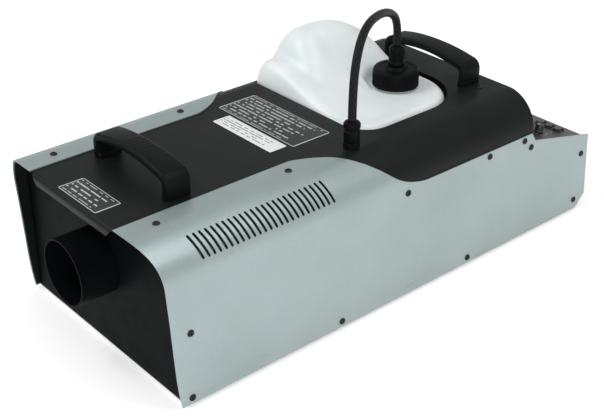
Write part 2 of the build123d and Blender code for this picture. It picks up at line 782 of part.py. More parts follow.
def tank_cap():
    low = CAP_TOP_Z - CAP_HEIGHT
    shell = rod(neck_point(low), neck_point(CAP_TOP_Z), CAP_RADIUS)
    hollow = rod(neck_point(low - 1), neck_point(NECK_TOP_Z + 1.6), CAP_RADIUS - CAP_WALL)
    ring = tube(neck_point(low + 4), neck_point(NECK_TOP_Z - 2), CAP_RADIUS - CAP_WALL + 0.1, NECK_RADIUS + 0.8)
    hole = rod(neck_point(low), neck_point(CAP_TOP_Z + 2), STEM_RADIUS + 0.02)
    return shell - hollow + ring - hole


def cap_seal():
    return tube(neck_point(NECK_TOP_Z + 0.05), neck_point(NECK_TOP_Z + 1.55), NECK_RADIUS, NECK_RADIUS - 5)


def tank_stem():
    """Hollow stem through the cap that the hose plug pushes on to."""
    stem = rod(neck_point(NECK_TOP_Z + 1), neck_point(STEM_TOP_Z), STEM_RADIUS)
    nut = rod(neck_point(NECK_TOP_Z - 3), neck_point(NECK_TOP_Z + 1.4), 9.0)
    collar = rod(neck_point(CAP_TOP_Z + 0.1), neck_point(CAP_TOP_Z + 3.0), 8.0)
    bore = rod(neck_point(NECK_TOP_Z - 10), neck_point(STEM_TOP_Z + 2), STEM_BORE)
    return stem + nut + collar - bore


def pickup_tube():
    return tube(neck_point(TANK_FLOOR_Z + 26), neck_point(NECK_TOP_Z - 3.1), PICKUP_RADIUS, PICKUP_RADIUS - 1)


def intake_filter():
    low = TANK_FLOOR_Z + 8
    body = rod(neck_point(low), neck_point(low + 22), 8.0)
    socket = rod(neck_point(low + 17.9), neck_point(low + 30), PICKUP_RADIUS + 0.02)
    neck = rod(neck_point(low + 21.9), neck_point(low + 28), 5.0)
    return body + neck - socket


def hose_plug():
    """Push-on plug over the stem, with a release sleeve."""
    low = CAP_TOP_Z + 3.2
    body = rod(neck_point(low), neck_point(PLUG_TOP_Z - 6), PLUG_RADIUS)
    sleeve = rod(neck_point(PLUG_TOP_Z - 6.1), neck_point(PLUG_TOP_Z), 6.8)
    socket = rod(neck_point(low - 1), neck_point(STEM_TOP_Z + 0.6), STEM_RADIUS + 0.05)
    return body + sleeve - socket


def hose_radii(points):
    radii = []
    for before, here, after in zip(points, points[1:], points[2:]):
        a = Vector(*here) - Vector(*before)
        b = Vector(*after) - Vector(*here)
        turn = radians(a.get_angle(b))
        radii.append(0.45 * min(a.length, b.length) / tan(turn / 2))
    return radii


def routed_tube(name, points, radius):
    """Round tube along straight runs joined by tangent arcs."""
    radii = hose_radii(points)
    path = FilletPolyline(*points, radius=radii)
    start = Vector(*points[0])
    heading = (Vector(*points[1]) - start).normalized()
    solid = sweep(Plane(origin=start, z_dir=heading) * Circle(radius), path=path)
    expected = pi * radius * radius * path.length
    print(name, "length", round(path.length, 1), "radii", [round(r, 1) for r in radii],
          "volume ratio", round(solid.volume / expected, 4))
    return solid


def hose():
    points = [(x, station(y), z) for x, y, z in HOSE_PATH]
    return routed_tube("fluid_hose", points, HOSE_RADIUS)


def hose_gland():
    """Relief that carries the hose up from the deck."""
    y = station(GLAND_Y)
    base = rod((GLAND_X, y, DECK_Z + 0.1), (GLAND_X, y, DECK_Z + 8), GLAND_RADIUS)
    stalk = rod((GLAND_X, y, DECK_Z + 7.9), (GLAND_X, y, GLAND_TOP_Z), 9.0)
    collar = rod((GLAND_X, y, GLAND_TOP_Z - 8), (GLAND_X, y, GLAND_TOP_Z - 1), 9.4)
    thread = rod((GLAND_X, y, DECK_Z - 10), (GLAND_X, y, DECK_Z + 0.2), 5.9)
    bore = rod((GLAND_X, y, DECK_Z - 11), (GLAND_X, y, GLAND_TOP_Z - 12), 3.0)
    return base + stalk + collar + thread - bore


def gland_nut():
    y = station(GLAND_Y)
    high = DECK_Z - SHEET - 0.6
    hexagon = Plane(origin=(GLAND_X, y, high - 5)) * RegularPolygon(9, 6)
    return extrude(hexagon, amount=5) - rod((GLAND_X, y, high - 6), (GLAND_X, y, high + 1), 5.95)


# ================================================================ handles
def arch_handle(offset):
    """Strap handle: two legs, round corners and a gently crowned top."""
    half = HANDLE_SPAN / 2
    low = DECK_Z + 0.1
    shoulder = low + HANDLE_RISE - HANDLE_CROWN
    top = low + HANDLE_RISE
    r_out = HANDLE_CORNER
    r_in = HANDLE_CORNER - HANDLE_THICK + 2
    t = HANDLE_THICK

    def outline(x_edge, z_shoulder, z_top, radius):
        corner = x_edge - radius
        bend = radius * (1 - 0.7071)
        return [
            Line((x_edge, low), (x_edge, z_shoulder - radius)),
            ThreePointArc((x_edge, z_shoulder - radius), (x_edge - bend, z_shoulder - bend), (corner, z_shoulder)),
            ThreePointArc((corner, z_shoulder), (0, z_top), (-corner, z_shoulder)),
            ThreePointArc((-corner, z_shoulder), (-x_edge + bend, z_shoulder - bend), (-x_edge, z_shoulder - radius)),
            Line((-x_edge, z_shoulder - radius), (-x_edge, low)),
            Line((-x_edge, low), (x_edge, low)),
        ]

    outer = make_face(outline(half, shoulder, top, r_out))
    inner = make_face(outline(half - HANDLE_LEG, shoulder - t, top - t, r_in))
    y = station(offset)
    strap = along_y(outer - inner, y - HANDLE_WIDTH / 2, y + HANDLE_WIDTH / 2)
    for x, py in handle_screw_places():
        if abs(py - y) < HANDLE_WIDTH:
            strap = strap - rod((x, py, low - 1), (x, py, low + 5), SCREW_SHANK_RADIUS - 0.05)
    return strap


def handle_screw_places():
    x = HANDLE_SPAN / 2 - HANDLE_LEG / 2
    places = []
    for offset in (FRONT_HANDLE_Y, REAR_HANDLE_Y):
        for side in (-1, 1):
            for dy in (-8, 8):
                places.append((side * x, station(offset) + dy))
    return places


def handle_screws():
    pieces = []
    high = DECK_Z - SHEET - 0.1
    for x, y in handle_screw_places():
        head = rod((x, y, high - 2.4), (x, y, high), SCREW_HEAD_RADIUS)
        shank = rod((x, y, high - 0.1), (x, y, DECK_Z + 4.6), SCREW_SHANK_RADIUS - 0.1)
        pieces.append(head + shank)
    return Compound(children=pieces)


# ================================================================ screws
def side_screw_seats():
    """Seats on the right side panel: point on the outer face and outward axis."""
    seats = []
    for y in (12.5, 218.0, 423.5, 628.0):
        z = BASE_Z + (13.5 if y > 600 else 7.5)
        seats.append((y, z))
    seats.append((15.3, BASE_Z + 85.6))
    for y in (316.0, 452.0, 515.0):
        seats.append((y, REAR_LEDGE_Z - 6.5))
    seats.append((528.5, REAR_LEDGE_Z - 19.0))
    seats.append((633.0, BASE_Z + 79.0))
    lean = radians(WALL_LEAN)
    normal = (cos(lean), 0, sin(lean))
    placed = [(wall_x(z), station(y), z, normal) for y, z in seats]
    for y in (16.5, 184.0):
        placed.append((97.5, station(y), TOP_Z, (0, 0, 1)))
    return placed


def screw_hole(x, y, z, axis):
    start = (x - axis[0] * SCREW_LENGTH, y, z - axis[2] * SCREW_LENGTH)
    end = (x + axis[0] * 2, y, z + axis[2] * 2)
    return rod(start, end, SCREW_SHANK_RADIUS + 0.1)


def pan_screw(x, y, z, axis):
    """Domed cross-head screw with its head on a surface at (x, y, z)."""
    n = Vector(*axis)
    seat = Vector(x, y, z)
    plane = Plane(origin=seat + n * 0.05, z_dir=n)
    head = extrude(plane * Circle(SCREW_HEAD_RADIUS), amount=SCREW_HEAD_HEIGHT)
    rim = head.faces().sort_by(Axis(seat, n))[-1].edges()
    head = fillet(rim, SCREW_HEAD_HEIGHT * 0.7)
    shank = rod(tuple(seat - n * SCREW_LENGTH), tuple(seat + n * 0.2), SCREW_SHANK_RADIUS)
    recess = Plane(origin=seat + n * 1.2, z_dir=n)
    head = head - extrude(recess * Rectangle(3.4, 0.9), amount=2) - extrude(recess * Rectangle(0.9, 3.4), amount=2)
    return head + shank


def side_screws():
    pieces = []
    for x, y, z, axis in side_screw_seats():
        pieces.append(pan_screw(x, y, z, axis))
    return Compound(children=pieces)


def cover_screw_places():
    return [(side * COVER_SCREW_X, station(COVER_SCREW_Y)) for side in (-1, 1)]


def cover_screws():
    pieces = []
    for x, y in cover_screw_places():
        pieces.append(pan_screw(x, y, DECK_Z, (0, 0, 1)))
    return Compound(children=pieces)


def base_feet_places():
    x = CASE_WIDTH / 2 - 32
    return [(side * x, y) for side in (-1, 1) for y in (station(45), REAR_Y - 60)]


def rubber_feet():
    pieces = []
    for x, y in base_feet_places():
        foot = rod((x, y, 0), (x, y, FOOT_HEIGHT - 0.05), FOOT_RADIUS)
        foot = fillet(foot.edges().sort_by(Axis.Z)[0], 1.0)
        recess = rod((x, y, -1), (x, y, 1.6), 4.5)
        pieces.append(foot - recess)
    return Compound(children=pieces)


def foot_screws():
    pieces = []
    for x, y in base_feet_places():
        pieces.append(rod((x, y, FOOT_HEIGHT + SHEET + 0.05), (x, y, FOOT_HEIGHT + SHEET + 3.2), 3.5))
    return Compound(children=pieces)


# ================================================================ heater and outlet
HEATER_X = 42.0
HEATER_Y0 = 48.0
HEATER_Y1 = 262.0
HEATER_HALF_Z = 36.0
LAGGING = 12.0


def outlet_tube():
    """Collar that a duct slides over, stepped down where it passes the front panel."""
    y0 = station(-OUTLET_REACH)
    y1 = station(COLLAR_END)
    y2 = station(OUTLET_DEPTH)
    inner = OUTLET_RADIUS - OUTLET_WALL
    collar = tube((0, y0, OUTLET_AXIS_Z), (0, y1, OUTLET_AXIS_Z), OUTLET_RADIUS, inner)
    rear = tube((0, y1 - 1, OUTLET_AXIS_Z), (0, y2, OUTLET_AXIS_Z), OUTLET_RADIUS - COLLAR_STEP, inner)
    return collar + rear


def outlet_flange():
    y = station(FRONT_RECESS) + SHEET + 0.1
    bore = OUTLET_RADIUS - COLLAR_STEP + 0.02
    return tube((0, y, OUTLET_AXIS_Z), (0, y + 2, OUTLET_AXIS_Z), OUTLET_RADIUS + 9, bore)


def heater_block():
    y0 = station(HEATER_Y0)
    y1 = station(HEATER_Y1)
    body = block(-HEATER_X, HEATER_X, y0, y1, OUTLET_AXIS_Z - HEATER_HALF_Z, OUTLET_AXIS_Z + HEATER_HALF_Z)
    body = body - rod((0, y0 - 1, OUTLET_AXIS_Z), (0, y0 + 14, OUTLET_AXIS_Z), 5.05)
    body = body - rod((0, y1 - 14, OUTLET_AXIS_Z), (0, y1 + 1, OUTLET_AXIS_Z), 5.05)
    for dx in (-22, 22):
        body = body - rod((dx, y0 + 20, OUTLET_AXIS_Z), (dx, y1 + 1, OUTLET_AXIS_Z), 6.05)
    return body


def heater_elements():
    pieces = []
    y0 = station(HEATER_Y0)
    y1 = station(HEATER_Y1)
    for dx in (-22, 22):
        rod_body = rod((dx, y0 + 21, OUTLET_AXIS_Z), (dx, y1 + 10, OUTLET_AXIS_Z), 6.0)
        tip = rod((dx, y1 + 9.9, OUTLET_AXIS_Z), (dx, y1 + 18, OUTLET_AXIS_Z), 2.5)
        pieces.append(rod_body + tip)
    return Compound(children=pieces)


def heater_lagging():
    y0 = station(HEATER_Y0 + 4)
    y1 = station(HEATER_Y1 - 4)
    grow = 0.3
    outer = block(-HEATER_X - LAGGING, HEATER_X + LAGGING, y0, y1,
                  OUTLET_AXIS_Z - HEATER_HALF_Z - LAGGING, OUTLET_AXIS_Z + HEATER_HALF_Z + LAGGING)
    inner = block(-HEATER_X - grow, HEATER_X + grow, y0 - 1, y1 + 1,
                  OUTLET_AXIS_Z - HEATER_HALF_Z - grow, OUTLET_AXIS_Z + HEATER_HALF_Z + grow)
    thermostat_way = block(-12, 12, station(150), station(180), OUTLET_AXIS_Z, OUTLET_AXIS_Z + HEATER_HALF_Z + 20)
    return outer - inner - thermostat_way


def heater_bracket():
    pieces = []
    high = OUTLET_AXIS_Z - HEATER_HALF_Z - LAGGING - 0.3
    low = BASE_Z + SHEET + 0.05
    for y in (HEATER_Y0 + 30, HEATER_Y1 - 30):
        wall = block(-HEATER_X, HEATER_X, station(y) - 1, station(y) + 1, low, high)
        top = block(-HEATER_X, HEATER_X, station(y) - 1, station(y) + 17, high - 2, high)
        foot = block(-HEATER_X, HEATER_X, station(y) - 1, station(y) + 17, low, low + 2)
        pieces.append(wall + top + foot)
    return Compound(children=pieces)


def nozzle_tip():
    y0 = station(HEATER_Y0)
    thread = rod((0, y0 + 12, OUTLET_AXIS_Z), (0, y0 - 0.2, OUTLET_AXIS_Z), 5.0)
    hexagon = Plane(origin=(0, y0 - 0.1, OUTLET_AXIS_Z), z_dir=(0, -1, 0)) * RegularPolygon(10, 6)
    head = extrude(hexagon, amount=7)
    snout = rod((0, y0 - 7, OUTLET_AXIS_Z), (0, y0 - 17, OUTLET_AXIS_Z), 5.5)
    bore = rod((0, y0 + 13, OUTLET_AXIS_Z), (0, y0 - 18, OUTLET_AXIS_Z), 1.2)
    return thread + head + snout - bore


def thermostat():
    z = OUTLET_AXIS_Z + HEATER_HALF_Z + 0.1
    y = station(165)
    plate = block(-11, 11, y - 7, y + 7, z, z + 1.2)
    body = rod((0, y, z + 1.1), (0, y, z + 10), 7.0)
    tabs = block(-9, 9, y - 0.4, y + 0.4, z + 9.9, z + 17)
    return plate + body + tabs


# ================================================================ pump and lines
PUMP_X = 96.0
PUMP_Y = 530.0
PUMP_Z = BASE_Z + 36.0
PUMP_RADIUS = 17.0


def fluid_pump():
    y = station(PUMP_Y)
    coil = block(PUMP_X - 19, PUMP_X + 19, y - 20, y + 20, PUMP_Z - 19, PUMP_Z + 19)
    inlet = rod((PUMP_X, y - 46, PUMP_Z), (PUMP_X, y - 19.9, PUMP_Z), 6.0)
    core = rod((PUMP_X, y + 19.9, PUMP_Z), (PUMP_X, y + 34, PUMP_Z), 8.0)
    spigot = rod((PUMP_X, y + 33.9, PUMP_Z), (PUMP_X, y + 42, PUMP_Z), 4.0)
    return coil + inlet + core + spigot


def pump_mounts():
    pieces = []
    for dx in (-14, 14):
        for dy in (-14, 14):
            x = PUMP_X + dx
            y = station(PUMP_Y) + dy
            pieces.append(rod((x, y, BASE_Z + SHEET + 0.05), (x, y, PUMP_Z - 19.05), 4.5))
    return Compound(children=pieces)


def suction_line():
    y = station(GLAND_Y)
    x = 104.0
    points = [
        (GLAND_X, y, DECK_Z - 10.1),
        (GLAND_X, y, DECK_Z - 50),
        (x + 8, y + 6, DECK_Z - 95),
        (x + 14, y + 50, BASE_Z + 55),
        (x + 14, station(380), BASE_Z + 44),
        (x + 8, station(425), BASE_Z + 39),
        (PUMP_X, station(PUMP_Y) - 74, PUMP_Z),
        (PUMP_X, station(PUMP_Y) - 46.1, PUMP_Z),
    ]
    return routed_tube("suction_line", points, 3.2)


def pressure_line():
    y_pump = station(PUMP_Y) + 42.1
    points = [
        (PUMP_X, y_pump, PUMP_Z),
        (PUMP_X, y_pump + 16, PUMP_Z),
        (PUMP_X - 26, y_pump + 20, PUMP_Z - 2),
        (PUMP_X - 40, y_pump - 14, PUMP_Z - 12),
        (PUMP_X - 47, station(500), BASE_Z + 16),
        (PUMP_X - 50, station(410), BASE_Z + 15),
        (PUMP_X - 52, station(330), BASE_Z + 17),
        (38, station(288), BASE_Z + 22),
        (24, station(279), BASE_Z + 56),
        (9, station(285), BASE_Z + 90),
        (0, station(292), OUTLET_AXIS_Z),
        (0, station(HEATER_Y1) + 8.1, OUTLET_AXIS_Z),
    ]
    return routed_tube("pressure_line", points, 2.2)


def heater_inlet():
    y1 = station(HEATER_Y1)
    thread = rod((0, y1 - 12, OUTLET_AXIS_Z), (0, y1 + 0.2, OUTLET_AXIS_Z), 5.0)
    hexagon = Plane(origin=(0, y1 + 0.1, OUTLET_AXIS_Z), z_dir=(0, 1, 0)) * RegularPolygon(7, 6)
    return thread + extrude(hexagon, amount=7.9)


# ================================================================ electrics
def main_board():
    board = block(-128, -18, station(500), station(600), BASE_Z + 14, BASE_Z + 15.6)
    relay = block(-70, -42, station(520), station(532), BASE_Z + 15.5, BASE_Z + 31)
    triac = block(-100, -84, station(515), station(520), BASE_Z + 15.5, BASE_Z + 38)
    chips = block(-60, -40, station(560), station(568), BASE_Z + 15.5, BASE_Z + 19)
    caps = rod((-110, station(570), BASE_Z + 15.5), (-110, station(570), BASE_Z + 34), 7)
    return board + relay + triac + chips + caps


def board_standoffs():
    pieces = []
    for x in (-123, -23):
        for y in (505, 595):
            pieces.append(rod((x, station(y), BASE_Z + SHEET + 0.05), (x, station(y), BASE_Z + 13.95), 3.0))
    return Compound(children=pieces)


def transformer():
    x, y = -8.0, station(548)
    low = BASE_Z + SHEET + 0.1
    core = block(x - 2, x + 40, y - 27, y + 27, low + 4, low + 46)
    coil = block(x - 8, x + 46, y - 17, y + 17, low + 10, low + 40)
    foot = block(x - 2, x + 40, y - 32, y + 32, low, low + 4.1)
    return core + coil + foot


def terminal_block():
    pieces = block(-140 + 6, -120 + 2, station(300), station(360), BASE_Z + 16, BASE_Z + 34)
    for index in range(5):
        y = station(306 + 12 * index)
        pieces = pieces - rod((-126, y, BASE_Z + 28), (-126, y, BASE_Z + 36), 3.0)
    base = block(-134, -118, station(296), station(364), BASE_Z + SHEET + 0.1, BASE_Z + 16.1)
    return pieces + base


# ================================================================ all nodes
def nodes():
    """Every node's name and solid, in building order."""
    right_panel = side_panel()
    right_screws = side_screws()
    yield "side_panel_right", right_panel
    yield "side_panel_left", mirrored(right_panel)
    yield "side_screws_right", right_screws
    yield "side_screws_left", mirrored(right_screws)
    yield "top_cover", top_cover()
    yield "front_panel", front_panel()
    yield "base_pan", base_pan()
    yield "rear_panel", rear_panel()
    yield "rear_bulkhead", rear_bulkhead()
    yield "control_panel", control_panel()
    yield "control_board", control_board()
    for index in range(3):
        yield ("knob_interval", "knob_duration", "knob_output")[index], knob(index)
    for index in range(3):
        yield ("button_manual", "button_timer", "button_continuous")[index], button(index)
    yield "panel_lamps", lamps()
    yield "display_window", display_window()
    yield "mains_inlet", mains_inlet()
    yield "switch_frame", switch_frame()
    yield "power_rocker", power_rocker()
    yield "fuse_holder", fuse_holder()
    yield "fuse_cap", fuse_cap()
    yield "control_socket_in", control_socket(0)
    yield "control_socket_out", control_socket(1)
    yield "tank_tray", tank_tray()
    yield "fluid_tank", fluid_tank()
    yield "tank_cap", tank_cap()
    yield "cap_seal", cap_seal()
    yield "tank_stem", tank_stem()
    yield "pickup_tube", pickup_tube()
    yield "intake_filter", intake_filter()
    yield "hose_plug", hose_plug()
    yield "fluid_hose", hose()
    yield "hose_gland", hose_gland()
    yield "gland_nut", gland_nut()
    yield "cover_screws", cover_screws()
    yield "front_handle", arch_handle(FRONT_HANDLE_Y)
    yield "rear_handle", arch_handle(REAR_HANDLE_Y)
    yield "handle_screws", handle_screws()
    yield "rubber_feet", rubber_feet()
    yield "foot_screws", foot_screws()
    yield "outlet_tube", outlet_tube()
    yield "outlet_flange", outlet_flange()
    yield "nozzle_tip", nozzle_tip()
    yield "heater_block", heater_block()
    yield "heater_elements", heater_elements()
    yield "heater_lagging", heater_lagging()
    yield "heater_bracket", heater_bracket()
    yield "heater_inlet", heater_inlet()
    yield "thermostat", thermostat()
    yield "fluid_pump", fluid_pump()
    yield "pump_mounts", pump_mounts()
    yield "suction_line", suction_line()
    yield "pressure_line", pressure_line()
    yield "main_board", main_board()
    yield "board_standoffs", board_standoffs()
    yield "transformer", transformer()
    yield "terminal_block", terminal_block()


os.makedirs("parts", exist_ok=True)
for name, solid in nodes():
    export_step(solid, "parts/" + name + ".step")
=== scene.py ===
"""Looks of a fog machine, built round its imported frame.

Sizes are in millimetres; meshes are made in metres. The machine stands on the floor, outlet towards -Y.
"""

import json
import logging
import math
import random
from collections.abc import Callable, Sequence
from dataclasses import dataclass, field
from enum import Enum
from typing import Any

import bmesh
import bpy
from mathutils import Matrix, Vector

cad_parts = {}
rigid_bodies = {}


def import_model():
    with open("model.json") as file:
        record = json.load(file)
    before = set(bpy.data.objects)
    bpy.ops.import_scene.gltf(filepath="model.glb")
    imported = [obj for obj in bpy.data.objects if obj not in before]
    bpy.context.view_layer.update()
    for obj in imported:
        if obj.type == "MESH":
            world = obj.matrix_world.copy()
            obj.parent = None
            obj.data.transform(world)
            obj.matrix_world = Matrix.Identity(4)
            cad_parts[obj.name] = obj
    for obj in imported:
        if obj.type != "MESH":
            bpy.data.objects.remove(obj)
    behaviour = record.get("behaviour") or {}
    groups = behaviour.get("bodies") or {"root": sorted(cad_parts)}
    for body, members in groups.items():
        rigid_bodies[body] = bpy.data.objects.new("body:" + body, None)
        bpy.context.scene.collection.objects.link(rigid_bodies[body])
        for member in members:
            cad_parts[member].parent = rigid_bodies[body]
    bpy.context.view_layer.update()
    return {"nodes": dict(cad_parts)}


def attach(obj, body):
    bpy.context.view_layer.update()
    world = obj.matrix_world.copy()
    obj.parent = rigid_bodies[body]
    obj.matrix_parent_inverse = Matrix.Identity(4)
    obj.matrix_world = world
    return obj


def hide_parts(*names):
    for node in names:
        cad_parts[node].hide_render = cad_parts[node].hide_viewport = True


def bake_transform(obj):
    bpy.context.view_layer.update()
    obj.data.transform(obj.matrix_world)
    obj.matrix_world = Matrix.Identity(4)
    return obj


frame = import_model()
LOG = logging.getLogger("fog_machine")
MM = 0.001
Color = tuple[float, float, float, float]
Tint = tuple[float, float, float]
Ring = list[Vector]
Outline = Sequence[tuple[float, float]]
Material = bpy.types.Material
Piece = bpy.types.Object
Socket = bpy.types.NodeSocket

ALONG = Vector((0, 1, 0))
UP = Vector((0, 0, 1))

FRONT_Y = -305.5
REAR_Y = 344.5
BASE_Z = 4.0
TOP_Z = 192.0
DECK_Z = 190.6
BACK_Y = REAR_Y - 8.0


def station(offset: float) -> float:
    """Y of a place that lies offset behind the case's front bottom edge."""
    return FRONT_Y + offset


# ---------------------------------------------------------------- shader language
def operator(kind: str, swapped: bool = False) -> Callable[["Value", Any], "Value"]:
    """Method that builds one Math node from a value and another term."""
    def build(value: "Value", other: Any) -> "Value":
        return value.graph.math(kind, *((other, value) if swapped else (value, other)))
    return build


def function(kind: str) -> Callable[["Value"], "Value"]:
    """Method that builds one Math node from a value alone."""
    return lambda value: value.graph.math(kind, value)


class Value:
    """A shader socket on which Python's operators build Math nodes."""

    __add__, __radd__ = operator("ADD"), operator("ADD", True)
    __sub__, __rsub__ = operator("SUBTRACT"), operator("SUBTRACT", True)
    __mul__, __rmul__ = operator("MULTIPLY"), operator("MULTIPLY", True)
    __truediv__ = operator("DIVIDE")
    __gt__, __lt__ = operator("GREATER_THAN"), operator("LESS_THAN")
    __abs__, sin = function("ABSOLUTE"), function("SINE")
    fract, floor = function("FRACT"), function("FLOOR")

    def __init__(self, graph: "Graph", socket: Socket) -> None:
        """Wrap a socket of a graph."""
        self.graph = graph
        self.socket = socket

    def clamp(self) -> "Value":
        """Held between zero and one."""
        return self.graph.node("ShaderNodeClamp", {}, {"Value": self})

    def ramp(self, low: float, high: float) -> "Value":
        """Smooth step from zero at low to one at high."""
        return self.graph.node("ShaderNodeMapRange", {"interpolation_type": "SMOOTHSTEP"},
                               {"Value": self, "From Min": low, "From Max": high})


class Graph:
    """A material whose nodes are made from Python expressions."""

    def __init__(self, name: str) -> None:
        """Start a material with one Principled surface."""
        self.material = bpy.data.materials.new(name)
        self.material.use_nodes = True
        self.tree = self.material.node_tree
        self.tree.nodes.clear()
        self.surface = self.tree.nodes.new("ShaderNodeBsdfPrincipled")
        output = self.tree.nodes.new("ShaderNodeOutputMaterial")
        self.tree.links.new(self.surface.outputs[0], output.inputs["Surface"])

    def feed(self, socket: Socket, value: Any) -> None:
        """Link a wrapped socket, or set a constant."""
        if isinstance(value, Value):
            self.tree.links.new(value.socket, socket)
        else:
            socket.default_value = value

    def node(self, kind: str, settings: dict[str, Any], inputs: dict[Any, Any], output: Any = 0) -> Value:
        """Add one node with its attributes and inputs, and wrap the chosen output."""
        made = self.tree.nodes.new(kind)
        for key, value in settings.items():
            setattr(made, key, value)
        for key, value in inputs.items():
            self.feed(made.inputs[key], value)
        return Value(self, made.outputs[output])

    def math(self, operation: str, *terms: Any) -> Value:
        """Math node on up to three terms."""
        return self.node("ShaderNodeMath", {"operation": operation}, dict(enumerate(terms)))

    def place(self, scale: Sequence[float] = (1, 1, 1)) -> Value:
        """Object coordinates in metres, scaled."""
        coordinates = self.node("ShaderNodeTexCoord", {}, {}, "Object")
        return self.node("ShaderNodeMapping", {}, {"Vector": coordinates, "Scale": scale})

    def parts(self, vector: Value) -> tuple[Value, Value, Value]:
        """X, Y and Z of a vector."""
        split = self.tree.nodes.new("ShaderNodeSeparateXYZ")
        self.feed(split.inputs[0], vector)
        return Value(self, split.outputs[0]), Value(self, split.outputs[1]), Value(self, split.outputs[2])

    def noise(self, size: float, detail: float = 3, stretch: Sequence[float] = (1, 1, 1)) -> Value:
        """Noise with features about size millimetres across."""
        return self.node("ShaderNodeTexNoise", {},
                         {"Vector": self.place(stretch), "Scale": 1000 / size, "Detail": detail}, 0)

    def cells(self, size: float) -> Value:
        """Distances to the cells of a Voronoi pattern about size millimetres across."""
        inputs = {"Vector": self.place(), "Scale": 1000 / size}
        return self.node("ShaderNodeTexVoronoi", {}, inputs, "Distance")

    def mix(self, factor: Any, first: Any, second: Any) -> Value:
        """Blend of two colours."""
        return self.node("ShaderNodeMix", {"data_type": "RGBA"}, {0: factor, 6: first, 7: second}, 2)

    def relief(self, height: Value, depth: float) -> None:
        """Bump of depth millimetres on the surface's normal."""
        normal = self.node("ShaderNodeBump", {}, {"Strength": 1.0, "Distance": depth * MM, "Height": height})
        self.feed(self.surface.inputs["Normal"], normal)

    def finish(self, **sockets: Any) -> Material:
        """Fill the surface's sockets, named with underscores for spaces, and return the material."""
        for key, value in sockets.items():
            self.feed(self.surface.inputs[key.replace("_", " ")], value)
        return self.material


class Grain(Enum):
    """Surface textures that a finish can have."""

    ENAMEL = "sprayed enamel with a faint orange peel"
    MOULDED = "spark-eroded mould texture"
    SPANGLE = "zinc crystals"
    BRUSHED = "fine lines along Y"
    CAST = "sand-cast skin"
    FIBRE = "felted fibre"
    LAMINATED = "stacked steel sheets"
    BOARD = "solder mask over copper tracks"
    SMOOTH = "polished or clear"


@dataclass(frozen=True)
class Finish:
    """A coat, metal or plastic, with how it varies over a piece."""

    name: str
    color: Tint
    drift: Tint
    roughness: float
    grain: Grain
    size: float = 1.0
    depth: float = 0.02
    metallic: float = 0.0
    coat: float = 0.0
    dust: float = 0.0
    extras: dict[str, float] = field(default_factory=dict)

    def texture(self, graph: Graph) -> Value:
        """Height pattern of the grain, from zero to one."""
        size, noise, cells = self.size, graph.noise, graph.cells
        if self.grain is Grain.SPANGLE:
            return noise(size * 0.5, 4) * 0.6 + cells(size)
        if self.grain is Grain.BRUSHED:
            return noise(size, 4, (1, 0.04, 1))
        if self.grain is Grain.CAST:
            return noise(size, 6) * 0.7 + cells(size * 2) * 0.3
        if self.grain is Grain.FIBRE:
            return noise(size, 8, (1, 0.3, 1)) * 0.5 + noise(size * 0.6, 8, (0.3, 1, 1)) * 0.5
        if self.grain is Grain.LAMINATED:
            x, _, _ = graph.parts(graph.place())
            return abs((x * (math.pi * 1000 / size)).sin()) + noise(3, 3) * 0.3
        if self.grain is Grain.BOARD:
            return (cells(size) * 1.4).ramp(0.25, 0.6)
        if self.grain is Grain.MOULDED:
            return noise(size, 5) * 0.7 + cells(size * 0.8) * 0.4
        return noise(size, 3)

    def make(self) -> Material:
        """Build the material."""
        graph = Graph(self.name)
        texture = self.texture(graph)
        cloud = graph.noise(90, 4)
        smudge = graph.noise(22, 6, (1, 0.5, 1)).ramp(0.42, 0.72)
        tone = (texture * 0.55 + cloud * 0.45).ramp(0.3, 0.75)
        color = graph.mix(tone, (*self.color, 1), (*self.drift, 1))
        rough = self.roughness - 0.05 + texture * 0.07 + smudge * 0.07
        if self.dust > 0:
            normal = graph.node("ShaderNodeNewGeometry", {}, {}, "Normal")
            up = graph.parts(normal)[2].ramp(0.55, 1.0)
            speck = graph.noise(3.2, 8).ramp(0.5, 0.9)
            veil = (up * (speck * 0.6 + smudge * 0.4) * self.dust).clamp()
            color = graph.mix(veil, color, (0.42, 0.41, 0.38, 1))
            rough = rough + veil * 0.35
        graph.relief(texture, self.depth)
        settings = {key.replace(" ", "_"): value for key, value in self.extras.items()}
        return graph.finish(Base_Color=color, Roughness=rough.clamp(), Metallic=self.metallic,
                            Coat_Weight=self.coat, **settings)


@dataclass(frozen=True)
class SidePaint:
    """Satin silver paint of the side panels, scuffed along the floor edge."""

    name: str = "side_silver"
    light: Color = (0.355, 0.425, 0.425, 1)
    deep: Color = (0.275, 0.335, 0.335, 1)

    def make(self) -> Material:
        """Build the material."""
        graph = Graph(self.name)
        _, _, z = graph.parts(graph.place())
        flake = graph.noise(0.9, 2) * 0.55 + graph.cells(1.1) * 0.5
        cloud = graph.noise(140, 3)
        color = graph.mix((flake * 0.5 + cloud * 0.5).ramp(0.25, 0.8), self.deep, self.light)
        low = 1 - z.ramp(0.006, 0.03)
        scratch = graph.noise(5, 8, (1, 0.12, 1)).ramp(0.6, 0.72)
        nick = graph.noise(1.6, 6).ramp(0.66, 0.74)
        wear = (low * (scratch * 0.5 + nick * 0.5)).clamp()
        color = graph.mix(wear, color, (0.24, 0.26, 0.26, 1))
        smudge = graph.noise(45, 5, (1, 0.6, 1)).ramp(0.4, 0.7)
        rough = 0.36 + flake * 0.07 + smudge * 0.06 + wear * 0.2
        graph.relief(flake + scratch * low * 0.6, 0.012)
        return graph.finish(Base_Color=color, Roughness=rough, Metallic=0.55, Coat_Weight=0.12,
                            Coat_Roughness=0.25)


